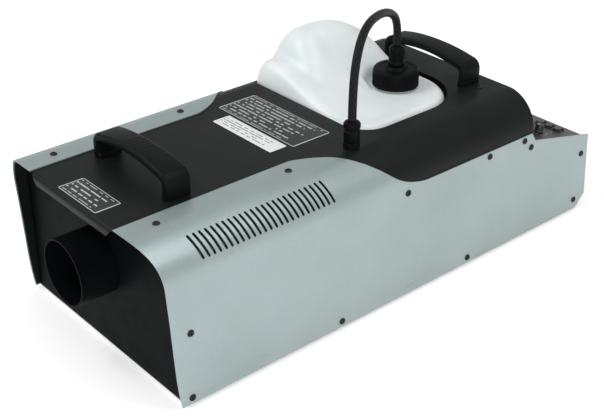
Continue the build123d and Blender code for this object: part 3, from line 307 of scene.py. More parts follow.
@dataclass(frozen=True)
class BraidJacket:
    """Woven jacket of the hose, laid out on the tube's own map, with painted highlight on the strand tops and
    painted shade between them.
    """

    name: str = "hose_braid"
    strands: int = 14
    pitch: float = 9.0

    def make(self) -> Material:
        """Build the material."""
        graph = Graph(self.name)
        place = graph.node("ShaderNodeUVMap", {"uv_map": "tube"}, {})
        around, along, _ = graph.parts(place)
        turn = around * (2 * math.pi * self.strands)
        run = along * (2 * math.pi * 1000 / self.pitch * 2)
        left = abs(((turn + run) * 0.5).sin())
        right = abs(((turn - run) * 0.5).sin())
        over = (turn * 0.5).sin() * (run * 0.5).sin()
        weave = (left * (over > 0) + right * (over < 0)).clamp()
        fuzz = graph.noise(0.6, 6)
        height = weave * 0.85 + fuzz * 0.15
        # Painted highlight and shade: the strand tops are lighter and the gaps between the strands are near
        # black.
        color = graph.mix(height.ramp(0.55, 1.0), (0.0006, 0.0006, 0.0006, 1), (0.022, 0.024, 0.024, 1))
        graph.relief(height, 0.5)
        return graph.finish(Base_Color=color, Roughness=0.38 + fuzz * 0.2, Specular_IOR_Level=0.12)


@dataclass(frozen=True)
class TankWall:
    """Milky blow-moulded polyethylene."""

    name: str = "tank_milky"

    def make(self) -> Material:
        """Build the material."""
        graph = Graph(self.name)
        _, _, z = graph.parts(graph.place())
        cloud = graph.noise(55, 4)
        flow = graph.noise(9, 5, (1, 0.35, 1))
        color = graph.mix(cloud.ramp(0.3, 0.7), (0.61, 0.66, 0.66, 1), (0.69, 0.73, 0.73, 1))
        # Painted shade: the wall turns darker and bluer towards the bottom, where the tank sinks into the
        # case.
        deep = 1 - z.ramp(0.12, 0.2)
        color = graph.mix(deep * 0.4, color, (0.52, 0.58, 0.59, 1))
        skin = graph.noise(1.4, 4)
        graph.relief(flow * 0.7 + skin * 0.3, 0.12)
        rough = 0.32 + cloud * 0.1 + skin * 0.06
        return graph.finish(Base_Color=color, Roughness=rough, Subsurface_Weight=0.35,
                            Subsurface_Scale=0.012, IOR=1.5, Specular_IOR_Level=0.5)


@dataclass(frozen=True)
class PrintedLabel:
    """Printed plate with plain rows in place of wording."""

    name: str
    ground: Color
    ink: Color
    low: tuple[float, float]
    high: tuple[float, float]
    rows: int
    margin: float = 3.0
    frame_line: bool = False

    def make(self) -> Material:
        """Build the material."""
        graph = Graph(self.name)
        x, y, _ = graph.parts(graph.place())
        wide = self.high[0] - self.low[0]
        deep = self.high[1] - self.low[1]
        u = (x * 1000 - self.low[0]) / wide
        v = (y * 1000 - self.low[1]) / deep
        edge_u = self.margin / wide
        edge_v = self.margin / deep
        inside = (u > edge_u) * (u < 1 - edge_u) * (v > edge_v) * (v < 1 - edge_v)
        row = v * self.rows
        bar = (row.fract() > 0.34) * (row.fract() < 0.66)
        spot = graph.node("ShaderNodeCombineXYZ", {}, {0: u * (wide / 5.2), 1: row.floor() * 7.3})
        dash = graph.node("ShaderNodeTexNoise", {}, {"Vector": spot, "Scale": 1.0, "Detail": 0.0}) > 0.43
        reach = graph.node("ShaderNodeTexWhiteNoise", {"noise_dimensions": "1D"}, {"W": row.floor() * 1.7})
        ends = u < 0.62 + reach * 0.34
        mask = (inside * bar * dash * ends).clamp()
        if self.frame_line:
            line = (self.margin * 0.25) / wide
            rim = (u < line * 2.2) + (u > 1 - line * 2.2) + (v < line * 3) + (v > 1 - line * 3)
            mask = (mask + rim.clamp()).clamp()
        worn = graph.noise(1.2, 4).ramp(0.3, 0.55)
        color = graph.mix(mask * (0.75 + worn * 0.25), self.ground, self.ink)
        graph.relief(graph.noise(2.5, 3), 0.01)
        return graph.finish(Base_Color=color, Roughness=0.38 + worn * 0.1)


@dataclass(frozen=True)
class FloorPaper:
    """Pale studio paper."""

    name: str = "studio_paper"

    def make(self) -> Material:
        """Build the material."""
        graph = Graph(self.name)
        color = graph.mix(graph.noise(400, 3), (0.90, 0.90, 0.90, 1), (0.94, 0.94, 0.94, 1))
        graph.surface.inputs["Emission Color"].default_value = (1, 1, 1, 1)
        return graph.finish(Base_Color=color, Roughness=0.9, Emission_Strength=0.28)


class Look:
    """Every finish of the machine, made once and handed out by name."""

    def __init__(self) -> None:
        """Build the materials."""
        plain = [
            Finish("deck_black", (0.0050, 0.0072, 0.0064), (0.0085, 0.0108, 0.0100), 0.42, Grain.ENAMEL,
                   1.2, 0.025, dust=0.012, extras={"Specular IOR Level": 0.12}),
            # Darker, less glossy copy of the deck's black enamel for the front, rear, outlet and tray parts:
            # painted shade.
            Finish("front_black", (0.0018, 0.0026, 0.0028), (0.0034, 0.0044, 0.0048), 0.5, Grain.ENAMEL,
                   1.2, 0.02, extras={"Specular IOR Level": 0.03}),
            Finish("panel_grey", (0.022, 0.023, 0.024), (0.032, 0.033, 0.034), 0.4, Grain.ENAMEL, 0.8,
                   0.02, dust=0.04),
            Finish("zinc_sheet", (0.50, 0.50, 0.49), (0.62, 0.62, 0.61), 0.42, Grain.SPANGLE, 9, 0.01,
                   metallic=0.9),
            Finish("screw_steel", (0.008, 0.009, 0.009), (0.022, 0.022, 0.022), 0.38, Grain.CAST, 0.7,
                   0.02, metallic=0.3, extras={"Specular IOR Level": 0.3}),
            Finish("handle_nylon", (0.0028, 0.0036, 0.0034), (0.0050, 0.0060, 0.0058), 0.40,
                   Grain.MOULDED, 0.7, 0.05, dust=0.01, extras={"Specular IOR Level": 0.08}),
            Finish("cap_black", (0.0025, 0.003, 0.003), (0.0055, 0.006, 0.006), 0.40, Grain.MOULDED, 0.9,
                   0.03, extras={"Specular IOR Level": 0.05}),
            Finish("soft_rubber", (0.012, 0.012, 0.012), (0.022, 0.022, 0.022), 0.72, Grain.MOULDED, 0.9,
                   0.05),
            Finish("knob_black", (0.012, 0.012, 0.012), (0.02, 0.02, 0.02), 0.4, Grain.MOULDED, 0.6, 0.03),
            Finish("button_grey", (0.020, 0.021, 0.022), (0.030, 0.031, 0.032), 0.4, Grain.MOULDED, 0.6,
                   0.02),
            Finish("rocker_red", (0.45, 0.02, 0.015), (0.52, 0.03, 0.02), 0.25, Grain.SMOOTH, 3, 0.005,
                   coat=0.3),
            Finish("lamp_red", (0.035, 0.006, 0.005), (0.05, 0.009, 0.007), 0.15, Grain.SMOOTH, 3, 0.004,
                   coat=0.5, extras={"Transmission Weight": 0.3}),
            Finish("window_dark", (0.006, 0.009, 0.007), (0.010, 0.014, 0.011), 0.08, Grain.SMOOTH, 30,
                   0.002, coat=0.6),
            Finish("socket_black", (0.012, 0.012, 0.012), (0.018, 0.018, 0.018), 0.3, Grain.MOULDED, 0.8,
                   0.02),
            Finish("nickel", (0.55, 0.54, 0.52), (0.64, 0.63, 0.61), 0.28, Grain.BRUSHED, 0.6, 0.006,
                   metallic=1.0),
            Finish("cast_alloy", (0.48, 0.48, 0.47), (0.60, 0.60, 0.59), 0.5, Grain.CAST, 2.2, 0.15,
                   metallic=0.9),
            Finish("brass", (0.62, 0.44, 0.17), (0.72, 0.53, 0.24), 0.28, Grain.BRUSHED, 0.8, 0.008,
                   metallic=1.0),
            Finish("fibre_wool", (0.66, 0.63, 0.56), (0.80, 0.78, 0.72), 0.92, Grain.FIBRE, 4, 1.0),
            Finish("board_green", (0.012, 0.10, 0.035), (0.03, 0.20, 0.075), 0.3, Grain.BOARD, 3, 0.04,
                   coat=0.3),
            Finish("clear_tube", (0.74, 0.76, 0.76), (0.82, 0.83, 0.82), 0.22, Grain.SMOOTH, 5, 0.01,
                   coat=0.3),
            Finish("laminated", (0.20, 0.19, 0.18), (0.32, 0.31, 0.30), 0.45, Grain.LAMINATED, 1.2, 0.08,
                   metallic=0.8),
            Finish("white_ink", (0.66, 0.68, 0.68), (0.74, 0.76, 0.76), 0.5, Grain.ENAMEL, 0.5, 0.004),
        ]
        self.by_name = {finish.name: finish.make() for finish in plain}
        for special in (SidePaint(), BraidJacket(), TankWall()):
            self.by_name[special.name] = special.make()

    def __getitem__(self, name: str) -> Material:
        """The material of that name."""
        return self.by_name[name]


# ---------------------------------------------------------------- mesh making
def put(name: str, points: Sequence[Vector], faces: Sequence[Sequence[int]], material: Material,
        crease: float = 35.0) -> Piece:
    """Make an object from points in millimetres; edges above the crease angle stay sharp."""
    mesh = bpy.data.meshes.new(name)
    mesh.from_pydata([Vector(p) * MM for p in points], [], faces)
    work = bmesh.new()
    work.from_mesh(mesh)
    bmesh.ops.remove_doubles(work, verts=work.verts, dist=1e-6)
    bmesh.ops.dissolve_degenerate(work, dist=1e-7, edges=work.edges)
    bmesh.ops.recalc_face_normals(work, faces=work.faces)
    work.to_mesh(mesh)
    work.free()
    mesh.shade_smooth()
    mesh.set_sharp_from_angle(angle=math.radians(crease))
    mesh.materials.append(material)
    piece = bpy.data.objects.new(name, mesh)
    bpy.context.scene.collection.objects.link(piece)
    return piece


def skin(rings: Sequence[Ring], closed_ends: bool = True,
         loop: bool = False) -> tuple[list[Vector], list[list[int]]]:
    """Join rings of equally many points with quads, and close the ends unless the rings form a loop."""
    count = len(rings[0])
    points = [point for ring in rings for point in ring]
    faces = []
    for level in range(len(rings) if loop else len(rings) - 1):
        a = level * count
        b = (level + 1) % len(rings) * count
        for index in range(count):
            after = (index + 1) % count
            faces.append([a + index, a + after, b + after, b + index])
    if closed_ends and not loop:
        faces.append(list(range(count)))
        faces.append(list(range(len(points) - count, len(points))))
    return points, faces


@dataclass(frozen=True)
class Spot:
    """A place and the way it faces."""

    origin: Vector
    facing: Vector
    across: Vector = Vector((1, 0, 0))

    def matrix(self) -> Matrix:
        """Turns local Z to the facing and local X near across."""
        z = self.facing.normalized()
        x = (self.across - z * self.across.dot(z)).normalized()
        y = z.cross(x)
        turn = Matrix((x, y, z)).transposed().to_4x4()
        return Matrix.Translation(self.origin) @ turn


def turned(name: str, profile: Outline, spot: Spot, material: Material,
           sides: int = 48, hollow: bool = False, wave: Callable[[float, float], float] | None = None,
           crease: float = 35.0) -> Piece:
    """Turn radius and height pairs about a spot's axis.

    A hollow profile is a closed loop off the axis. The wave gives a radius factor from angle and height.
    """
    matrix = spot.matrix()
    rings = []
    for radius, height in profile:
        ring = []
        for index in range(sides):
            angle = 2 * math.pi * index / sides
            factor = wave(angle, height) if wave else 1.0
            local = Vector((radius * factor * math.cos(angle), radius * factor * math.sin(angle), height))
            ring.append(matrix @ local)
        rings.append(ring)
    points, faces = skin(rings, closed_ends=not hollow, loop=hollow)
    return put(name, points, faces, material, crease)


def rounded(path: Outline, radius: float, steps: int = 5) -> list[tuple[float, float]]:
    """Round the inner corners of a profile."""
    done = [path[0]]
    for before, here, after in zip(path, path[1:], path[2:]):
        a = Vector(before) - Vector(here)
        b = Vector(after) - Vector(here)
        reach = min(radius, a.length * 0.45, b.length * 0.45)
        start = Vector(here) + a.normalized() * reach
        end = Vector(here) + b.normalized() * reach
        for step in range(steps + 1):
            t = step / steps
            mid = start * (1 - t) ** 2 + Vector(here) * 2 * t * (1 - t) + end * t * t
            done.append((mid.x, mid.y))
    done.append(path[-1])
    return done


def round_box(half_x: float, half_y: float, radius: float, steps: int = 5) -> list[tuple[float, float]]:
    """Outline of a centred rectangle with rounded corners."""
    outline = []
    for index, (sx, sy) in enumerate(((1, 1), (-1, 1), (-1, -1), (1, -1))):
        for step in range(steps):
            angle = math.radians(90 * (index + step / (steps - 1)))
            outline.append((sx * (half_x - radius) + radius * math.cos(angle),
                            sy * (half_y - radius) + radius * math.sin(angle)))
    return outline


# ---------------------------------------------------------------- geometry node tools
class NodeTool:
    """A Geometry Nodes tree with named inputs, applied to a carrier and baked to a plain mesh."""

    def __init__(self, name: str, inputs: dict[str, tuple[str, Any]]) -> None:
        """Open the tree and declare its inputs."""
        self.tree = bpy.data.node_groups.new(name, "GeometryNodeTree")
        self.tree.interface.new_socket(name="Geometry", in_out="INPUT", socket_type="NodeSocketGeometry")
        self.tree.interface.new_socket(name="Geometry", in_out="OUTPUT", socket_type="NodeSocketGeometry")
        self.ids: dict[str, str] = {}
        for key, (kind, default) in inputs.items():
            socket = self.tree.interface.new_socket(name=key, in_out="INPUT", socket_type=kind)
            socket.default_value = default
            self.ids[key] = socket.identifier
        self.start = self.tree.nodes.new("NodeGroupInput")
        self.end = self.tree.nodes.new("NodeGroupOutput")

    def add(self, kind: str, settings: dict[str, Any] | None = None, **links: Any) -> bpy.types.Node:
        """Add a node; links maps socket names, with underscores for spaces, to sockets or constants."""
        made = self.tree.nodes.new(kind)
        for key, value in (settings or {}).items():
            setattr(made, key, value)
        for key, value in links.items():
            socket = made.inputs[key.replace("_", " ")]
            if isinstance(value, Socket):
                self.tree.links.new(value, socket)
            else:
                socket.default_value = value
        return made

    def close(self, geometry: Socket, material: Material) -> None:
        """End the tree in Realize Instances and Set Material."""
        real = self.add("GeometryNodeRealizeInstances", Geometry=geometry)
        coated = self.add("GeometryNodeSetMaterial", Geometry=real.outputs[0], Material=material)
        self.tree.links.new(coated.outputs[0], self.end.inputs[0])

    def bake(self, name: str, carrier: bpy.types.Mesh, values: dict[str, Any], place: Matrix | None = None,
             crease: float = 35.0) -> Piece:
        """Run the tree on a carrier mesh and keep the result, moved by place in metres, as one object."""
        piece = bpy.data.objects.new(name, carrier)
        bpy.context.scene.collection.objects.link(piece)
        modifier = piece.modifiers.new("build", "NODES")
        modifier.node_group = self.tree
        for key, value in values.items():
            modifier[self.ids[key]] = value
        graph = bpy.context.evaluated_depsgraph_get()
        result = bpy.data.meshes.new_from_object(piece.evaluated_get(graph))
        piece.modifiers.clear()
        if place is not None:
            result.transform(place)
        result.name = name
        result.shade_smooth()
        result.set_sharp_from_angle(angle=math.radians(crease))
        piece.data = result
        return piece


def carrier_of(spots: Sequence[Spot]) -> bpy.types.Mesh:
    """Loose points with a facing each, for a tool that sets copies on them."""
    mesh = bpy.data.meshes.new("carrier")
    mesh.from_pydata([spot.origin * MM for spot in spots], [], [])
    facing = mesh.attributes.new("facing", "FLOAT_VECTOR", "POINT")
    across = mesh.attributes.new("across", "FLOAT_VECTOR", "POINT")
    for index, spot in enumerate(spots):
        facing.data[index].vector = spot.facing
        across.data[index].vector = spot.across
    return mesh


class Scatter(NodeTool):
    """Sets copies of one pattern on points, each turned to its point's facing."""

    def __init__(self, name: str, pattern: Piece, material: Material) -> None:
        """Build the tree around a pattern object."""
        super().__init__(name, {"Scale": ("NodeSocketFloat", 1.0), "Spin": ("NodeSocketFloat", 0.0)})
        facing = self.add("GeometryNodeInputNamedAttribute", {"data_type": "FLOAT_VECTOR"}, Name="facing")
        across = self.add("GeometryNodeInputNamedAttribute", {"data_type": "FLOAT_VECTOR"}, Name="across")
        out_face = next(s for s in facing.outputs if s.name == "Attribute" and s.enabled)
        out_cross = next(s for s in across.outputs if s.name == "Attribute" and s.enabled)
        lean = self.add("FunctionNodeAlignRotationToVector", {"axis": "X"}, Vector=out_cross)
        upright = self.add("FunctionNodeAlignRotationToVector", {"axis": "Z", "pivot_axis": "X"},
                           Rotation=lean.outputs[0], Vector=out_face)
        order = self.add("GeometryNodeInputIndex")
        angle = self.add("ShaderNodeMath", {"operation": "MULTIPLY"})
        self.tree.links.new(order.outputs[0], angle.inputs[0])
        self.tree.links.new(self.start.outputs["Spin"], angle.inputs[1])
        turn = self.add("ShaderNodeCombineXYZ", Z=angle.outputs[0])
        spun = self.add("FunctionNodeRotateRotation", {"rotation_space": "LOCAL"},
                        Rotation=upright.outputs[0])
        self.tree.links.new(turn.outputs[0], spun.inputs[1])
        source = self.add("GeometryNodeObjectInfo", Object=pattern)
        copies = self.add("GeometryNodeInstanceOnPoints", Points=self.start.outputs["Geometry"],
                          Instance=source.outputs["Geometry"], Rotation=spun.outputs[0],
                          Scale=self.start.outputs["Scale"])
        self.close(copies.outputs[0], material)


class RibRing(NodeTool):
    """Half-sunk round ribs standing in a circle about local Z."""

    def __init__(self, material: Material) -> None:
        """Build the tree."""
        super().__init__("rib_ring", {
            "Count": ("NodeSocketInt", 32), "Radius": ("NodeSocketFloat", 0.02),
            "Rib Radius": ("NodeSocketFloat", 0.001), "Height": ("NodeSocketFloat", 0.01)})
        circle = self.add("GeometryNodeMeshCircle", Vertices=self.start.outputs["Count"],
                          Radius=self.start.outputs["Radius"])
        rib = self.add("GeometryNodeMeshCylinder", Vertices=8, Radius=self.start.outputs["Rib Radius"],
                       Depth=self.start.outputs["Height"])
        copies = self.add("GeometryNodeInstanceOnPoints", Points=circle.outputs[0],
                          Instance=rib.outputs["Mesh"])
        self.close(copies.outputs[0], material)

    def stand(self, name: str, spot: Vector, count: int, radius: float, rib: float, height: float) -> Piece:
        """Bake one ring of ribs about a point, all in millimetres."""
        values = {"Count": count, "Radius": radius * MM, "Rib Radius": rib * MM, "Height": height * MM}
        return self.bake(name, bpy.data.meshes.new("empty"), values, Matrix.Translation(spot * MM))


# ---------------------------------------------------------------- the machine's sub-assemblies
@dataclass
class Fasteners:
    """Pan-head screws of the casing, set by one scatter tool."""

    head_radius: float = 4.0
    head_height: float = 2.2
    recess: float = 1.1
    lean: float = 0.87

    def head(self, material: Material) -> Piece:
        """One domed head with a cross recess, standing on the origin."""
        sides, levels = 32, 9
        rings = []
        for level in range(levels):
            t = level / (levels - 1)
            ring = []
            for index in range(sides):
                angle = 2 * math.pi * index / sides
                radius = self.head_radius * math.cos(t * math.pi / 2 * 0.985)
                height = self.head_height * math.sin(t * math.pi / 2) ** 0.8
                x, y = radius * math.cos(angle), radius * math.sin(angle)
                arm = min(abs(x), abs(y))
                reach = max(abs(x), abs(y))
                if arm < 0.5 and reach < 2.0:
                    height -= self.recess * (1 - reach / 2.6)
                ring.append(Vector((x, y, height)))
            rings.append(ring)
        foot = [Vector((p.x, p.y, -0.3)) for p in rings[0]]
        points, faces = skin([foot] + rings)
        return put("screw_pattern", points, faces, material, 28)

    def side_spots(self, side: int) -> list[Spot]:
        """Seats on one side panel."""
        lean = math.radians(self.lean)
        seats = [(y, BASE_Z + (13.5 if y > 600 else 7.5)) for y in (12.5, 218.0, 423.5, 628.0)]
        seats.append((15.3, BASE_Z + 85.6))
        seats += [(y, BASE_Z + 134.5) for y in (316.0, 452.0, 515.0)]
        seats += [(528.5, BASE_Z + 122.0), (633.0, BASE_Z + 79.0)]
        spots = []
        for y, z in seats:
            x = 149.2 - (z - BASE_Z) * math.tan(lean)
            facing = Vector((side * math.cos(lean), 0, math.sin(lean)))
            spots.append(Spot(Vector((side * x, station(y), z)), facing, ALONG))
        for y in (16.5, 184.0):
            spots.append(Spot(Vector((side * 97.5, station(y), TOP_Z)), UP))
        return spots

    def build(self, look: Look) -> None:
        """Set every screw and let the CAD ones stand behind them."""
        pattern = self.head(look["screw_steel"])
        tool = Scatter("screw_scatter", pattern, look["screw_steel"])
        for side, node in ((1, "side_screws_right"), (-1, "side_screws_left")):
            piece = tool.bake(f"{node}_heads", carrier_of(self.side_spots(side)),
                              {"Scale": 1.0, "Spin": 1.31})
            settle(piece, "case", [node])
        deck = [Spot(Vector((side * 80.0, station(503.0), DECK_Z)), UP) for side in (-1, 1)]
        rear = [Spot(Vector((x, BACK_Y, BASE_Z + 90)), ALONG) for x in (-130, -110, -20, 64, 128)]
        rear += [Spot(Vector((x, BACK_Y + 3.0, BASE_Z + 46)), ALONG) for x in (72.0, 112.0)]
        rear += [Spot(Vector((x - 12 * turn, BACK_Y + 2.6, BASE_Z + 50 + 12 * turn)), ALONG)
                 for x in (-44.0, -88.0) for turn in (1, -1)]
        base = [Spot(Vector((side * 117.2, y, 1.7)), -UP)
                for side in (-1, 1) for y in (station(45), REAR_Y - 60)]
        for name, spots, scale, spin, nodes in (("deck", deck, 1.0, 0.7, ["cover_screws"]),
                                                ("rear", rear, 0.7, 0.9, []), ("foot", base, 0.75, 0.5, [])):
            values = {"Scale": scale, "Spin": spin}
            settle(tool.bake(f"{name}_screw_heads", carrier_of(spots), values), "case", nodes)
        bpy.data.objects.remove(pattern)


def settle(piece: Piece, body: str, nodes: Sequence[str]) -> Piece:
    """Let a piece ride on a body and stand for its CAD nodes."""
    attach(piece, body)
    if nodes:
        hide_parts(*nodes)
    LOG.info("%s rides on %s, %d faces", piece.name, body, len(piece.data.polygons))
    return piece


@dataclass
class StrapHandle:
    """Arched strap handle with a rounded section and grip ribs."""

    name: str
    node: str
    offset: float
    span: float = 138.0
    width: float = 31.0
    thick: float = 9.5
    rise: float = 36.0
    crown: float = 6.0
    corner: float = 13.0
    edge: float = 3.0
    leg: float = 11.0

    def centre_line(self) -> list[tuple[Vector, Vector]]:
        """Points in the middle of the strap and their outward normals, from one foot to the other."""
        half = self.span / 2 - self.thick / 2
        low = DECK_Z + 0.1
        radius = self.corner - self.thick / 2
        shoulder = low + self.rise - self.crown - self.thick / 2
        line = []
        for z in (low, low + 3, low + 6, low + 9, shoulder - radius):
            line.append((Vector((half, 0, z)), Vector((1, 0, 0))))
        for step in range(1, 9):
            angle = math.pi / 2 * step / 8
            out = Vector((math.cos(angle), 0, math.sin(angle)))
            line.append((Vector((half - radius, 0, shoulder - radius)) + out * radius, out))
        reach = half - radius
        for step in range(1, 25):
            x = reach * (1 - step / 24)
            rise = self.crown * (1 - (x / reach) ** 2)
            slope = 2 * self.crown * x / reach ** 2
            line.append((Vector((x, 0, shoulder + rise)), Vector((slope, 0, 1)).normalized()))
        flip = [(Vector((-p.x, 0, p.z)), Vector((-n.x, 0, n.z))) for p, n in reversed(line[:-1])]
        return line + flip

    def section(self, centre: Vector, normal: Vector, thick: float, width: float) -> Ring:
        """Rounded rectangle across the strap."""
        middle = centre + Vector((0, station(self.offset), 0))
        return [middle + ALONG * y + normal * n for y, n in round_box(width / 2, thick / 2, self.edge)]

    def build(self, look: Look) -> None:
        """Make the strap, its feet and its grip ribs."""
        rings = []
        line = self.centre_line()
        for index, (centre, normal) in enumerate(line):
            swell = 1.0 - 0.10 * math.sin(math.pi * index / (len(line) - 1)) ** 4
            rings.append(self.section(centre, normal, self.thick, self.width * swell))
        points, faces = skin(rings)
        strap = put(self.name, points, faces, look["handle_nylon"], 40)
        settle(strap, "case", [self.node])
        for side in (-1, 1):
            pad = self.foot(side, look)
            settle(pad, "case", [])
        ribs = []
        low = DECK_Z + 0.1 + self.rise
        for step in range(-2, 3):
            x = step * 6.0
            ribs.append(Spot(Vector((x, station(self.offset), low - 0.15 - self.crown * (x / 56) ** 2)),
                             Vector((2 * self.crown * x / 56 ** 2, 0, 1))))
        pattern = put("rib_pattern", *skin(self.rib_rings()), look["handle_nylon"], 30)
        tool = Scatter(f"{self.name}_rib_scatter", pattern, look["handle_nylon"])
        settle(tool.bake(f"{self.name}_ribs", carrier_of(ribs), {"Scale": 1.0, "Spin": 0.0}), "case", [])
        bpy.data.objects.remove(pattern)

    def rib_rings(self) -> list[Ring]:
        """One low half-round bar across the strap."""
        rings = []
        reach = self.width / 2 - 5.5
        for y, size in ((-reach - 0.8, 0.3), (-reach, 1.0), (reach, 1.0), (reach + 0.8, 0.3)):
            rings.append([Vector((size * 0.9 * math.cos(a), y, size * 0.45 * math.sin(a)))
                          for a in (math.pi * k / 4 for k in range(8))])
        return rings

    def foot(self, side: int, look: Look) -> Piece:
        """Pad inside one leg, where the screws enter from below."""
        low = DECK_Z + 0.1
        outer, inner = self.span / 2 - 3.0, self.span / 2 - self.leg
        rings = []
        for grow, z in ((0, low), (0, low + 4.4), (-0.6, low + 5.5), (-1.8, low + 6.0)):
            middle, half = (outer + inner - grow) / 2, (outer - inner + grow) / 2
            rings.append([Vector((side * (middle + x), station(self.offset) + y, z))
                          for x, y in round_box(half, self.width / 2 - 0.4 + grow, 3, 4)])
        points, faces = skin(rings)
        hand = "right" if side > 0 else "left"
        return put(f"{self.name}_foot_{hand}", points, faces, look["handle_nylon"], 40)


@dataclass
class FluidTank:
    """Blow-moulded tank with a carrying dome on one side."""

    x0: float = -124.0
    x1: float = 83.0
    y0: float = 307.0
    y1: float = 480.0
    floor: float = 46.0
    top: float = 191.0
    edge: float = 12.0
    dome: float = 58.0
    bolster: float = 25.5
    neck: tuple[float, float] = (10.0, 428.0)
    corners: tuple[float, float, float, float] = (22.0, 32.0, 67.0, 22.0)

    def outline(self, inset: float) -> list[tuple[float, float]]:
        """Plan of the tank, moved in by inset, with equally many points each time."""
        x0, x1 = self.x0 + inset, self.x1 - inset
        y0, y1 = station(self.y0) + inset, station(self.y1) - inset
        half = min(x1 - x0, y1 - y0) / 2
        corners = [(x0, y0, 180), (x1, y0, 270), (x1, y1, 0), (x0, y1, 90)]
        arcs = []
        for (x, y, base), radius in zip(corners, self.corners):
            r = max(min(radius - inset, half), 0.4)
            cx = x + (r if base in (180, 90) else -r)
            cy = y + (r if base in (180, 270) else -r)
            arcs.append([(cx + r * math.cos(math.radians(base + 90 * k / 12)),
                          cy + r * math.sin(math.radians(base + 90 * k / 12))) for k in range(13)])
        line = []
        for here, after in zip(arcs, arcs[1:] + arcs[:1]):
            line += here
            start, end = here[-1], after[0]
            for k in range(1, 30):
                t = k / 30
                line.append((start[0] * (1 - t) + end[0] * t, start[1] * (1 - t) + end[1] * t))
        return line

    def swell(self, x: float, y: float) -> float:
        """Height of the dome and bolster above the tank's top."""
        offset = y - FRONT_Y
        stops = [(330, 0.0), (337, 14.0), (343, 33.0), (351, 47.0), (363, 55.5), (380, self.dome),
                 (404, 57.5), (424, 54.0), (446, 45.0), (462, 33.0), (473, 17.0), (480, 4.0)]
        along = smooth_curve(offset, stops)
        side = smooth_curve(x, [(-124, 0.9), (-112, 0.965), (-94, 1.0), (-78, 0.965), (-60, 0.74),
                                (-40, 0.38), (-18, 0.11), (8, 0.0)])
        lobe_y = smooth_curve(offset, [(307, 0.75), (312, 0.95), (320, 1.0), (342, 1.0), (362, 0.6),
                                       (388, 0.0)])
        lobe_x = smooth_curve(x, [(-124, 0.85), (-106, 0.97), (-88, 1.0), (-58, 0.8), (-24, 0.42), (6, 0.14),
                                  (32, 0.0)])
        a, b = along * side, self.bolster * lobe_y * lobe_x
        blend = (abs(a) ** 3 + abs(b) ** 3) ** (1 / 3)
        away = math.hypot(x - self.neck[0], y - station(self.neck[1]))
        clear = min(max((away - 31.5) / 10, 0), 1)
        return blend * clear * clear * (3 - 2 * clear)

    def rings(self) -> list[Ring]:
        """Rings from the middle of the underside, up the wall, to the middle of the top."""
        rings = []
        for inset in (70, 40, 20, 12):
            rings.append([Vector((x, y, self.floor)) for x, y in self.outline(inset)])
        for step in range(1, 7):
            angle = math.pi / 2 * step / 6
            inset = self.edge * (1 - math.sin(angle))
            z = self.floor + self.edge * (1 - math.cos(angle))
            rings.append([Vector((x, y, z)) for x, y in self.outline(inset)])
        for z in range(70, 180, 12):
            rings.append([Vector((x, y, z)) for x, y in self.outline(0)])
        insets = [0, 0.15, 0.5, 1.1, 1.9, 2.9, 4.1, 5.5, 7.1, 9.0, 11.0, 13.5, 16.5, 20]
        insets += [20 + 2.4 * k for k in range(1, 27)]
        for inset in insets:
            ring = []
            for x, y in self.outline(inset):
                t = min(inset / self.edge, 1)
                rim = self.edge * (1 - math.sqrt(1 - (1 - t) ** 2))
                t = min(inset / 20, 1)
                rise = self.swell(x, y) * math.sqrt(1 - (1 - t) ** 2)
                ring.append(Vector((x, y, self.top - rim + rise)))
            rings.append(ring)
        return rings

    def build(self, look: Look) -> None:
        """Make the shell and its neck."""
        points, faces = skin(self.rings())
        shell = put("tank_shell", points, faces, look["tank_milky"], 60)
        settle(shell, "tank", ["fluid_tank"])
        spot = Spot(Vector((self.neck[0], station(self.neck[1]), 0)), UP)
        profile = [(20.0, 186.0), (24.6, 189.0), (24.4, 192.0), (23.6, 193.4), (22.0, 194.0), (22.0, 198.0),
                   (22.7, 198.8), (22.0, 199.6), (22.0, 203.0), (22.7, 203.8), (22.0, 204.6), (22.0, 209.4),
                   (21.4, 210.0), (20.0, 210.0)]
        neck = turned("tank_neck", profile, spot, look["tank_milky"], 64, hollow=True)
        settle(neck, "tank", [])


def smooth_curve(x: float, stops: Outline) -> float:
    """Value at x of a smooth curve through stops, flat beyond both ends."""
    if x <= stops[0][0]:
        return stops[0][1]
    if x >= stops[-1][0]:
        return stops[-1][1]
    slopes = []
    for index in range(len(stops)):
        before = stops[max(index - 1, 0)]
        after = stops[min(index + 1, len(stops) - 1)]
        slopes.append((after[1] - before[1]) / (after[0] - before[0]))
    slopes[0] = slopes[-1] = 0.0
    for index in range(len(stops) - 1):
        (xa, ya), (xb, yb) = stops[index], stops[index + 1]
        if xa <= x <= xb:
            w = xb - xa
            t = (x - xa) / w
            a = ya * (1 + 2 * t) * (1 - t) ** 2 + slopes[index] * w * t * (1 - t) ** 2
            b = yb * t * t * (3 - 2 * t) + slopes[index + 1] * w * t * t * (t - 1)
            return a + b
    return stops[-1][1]


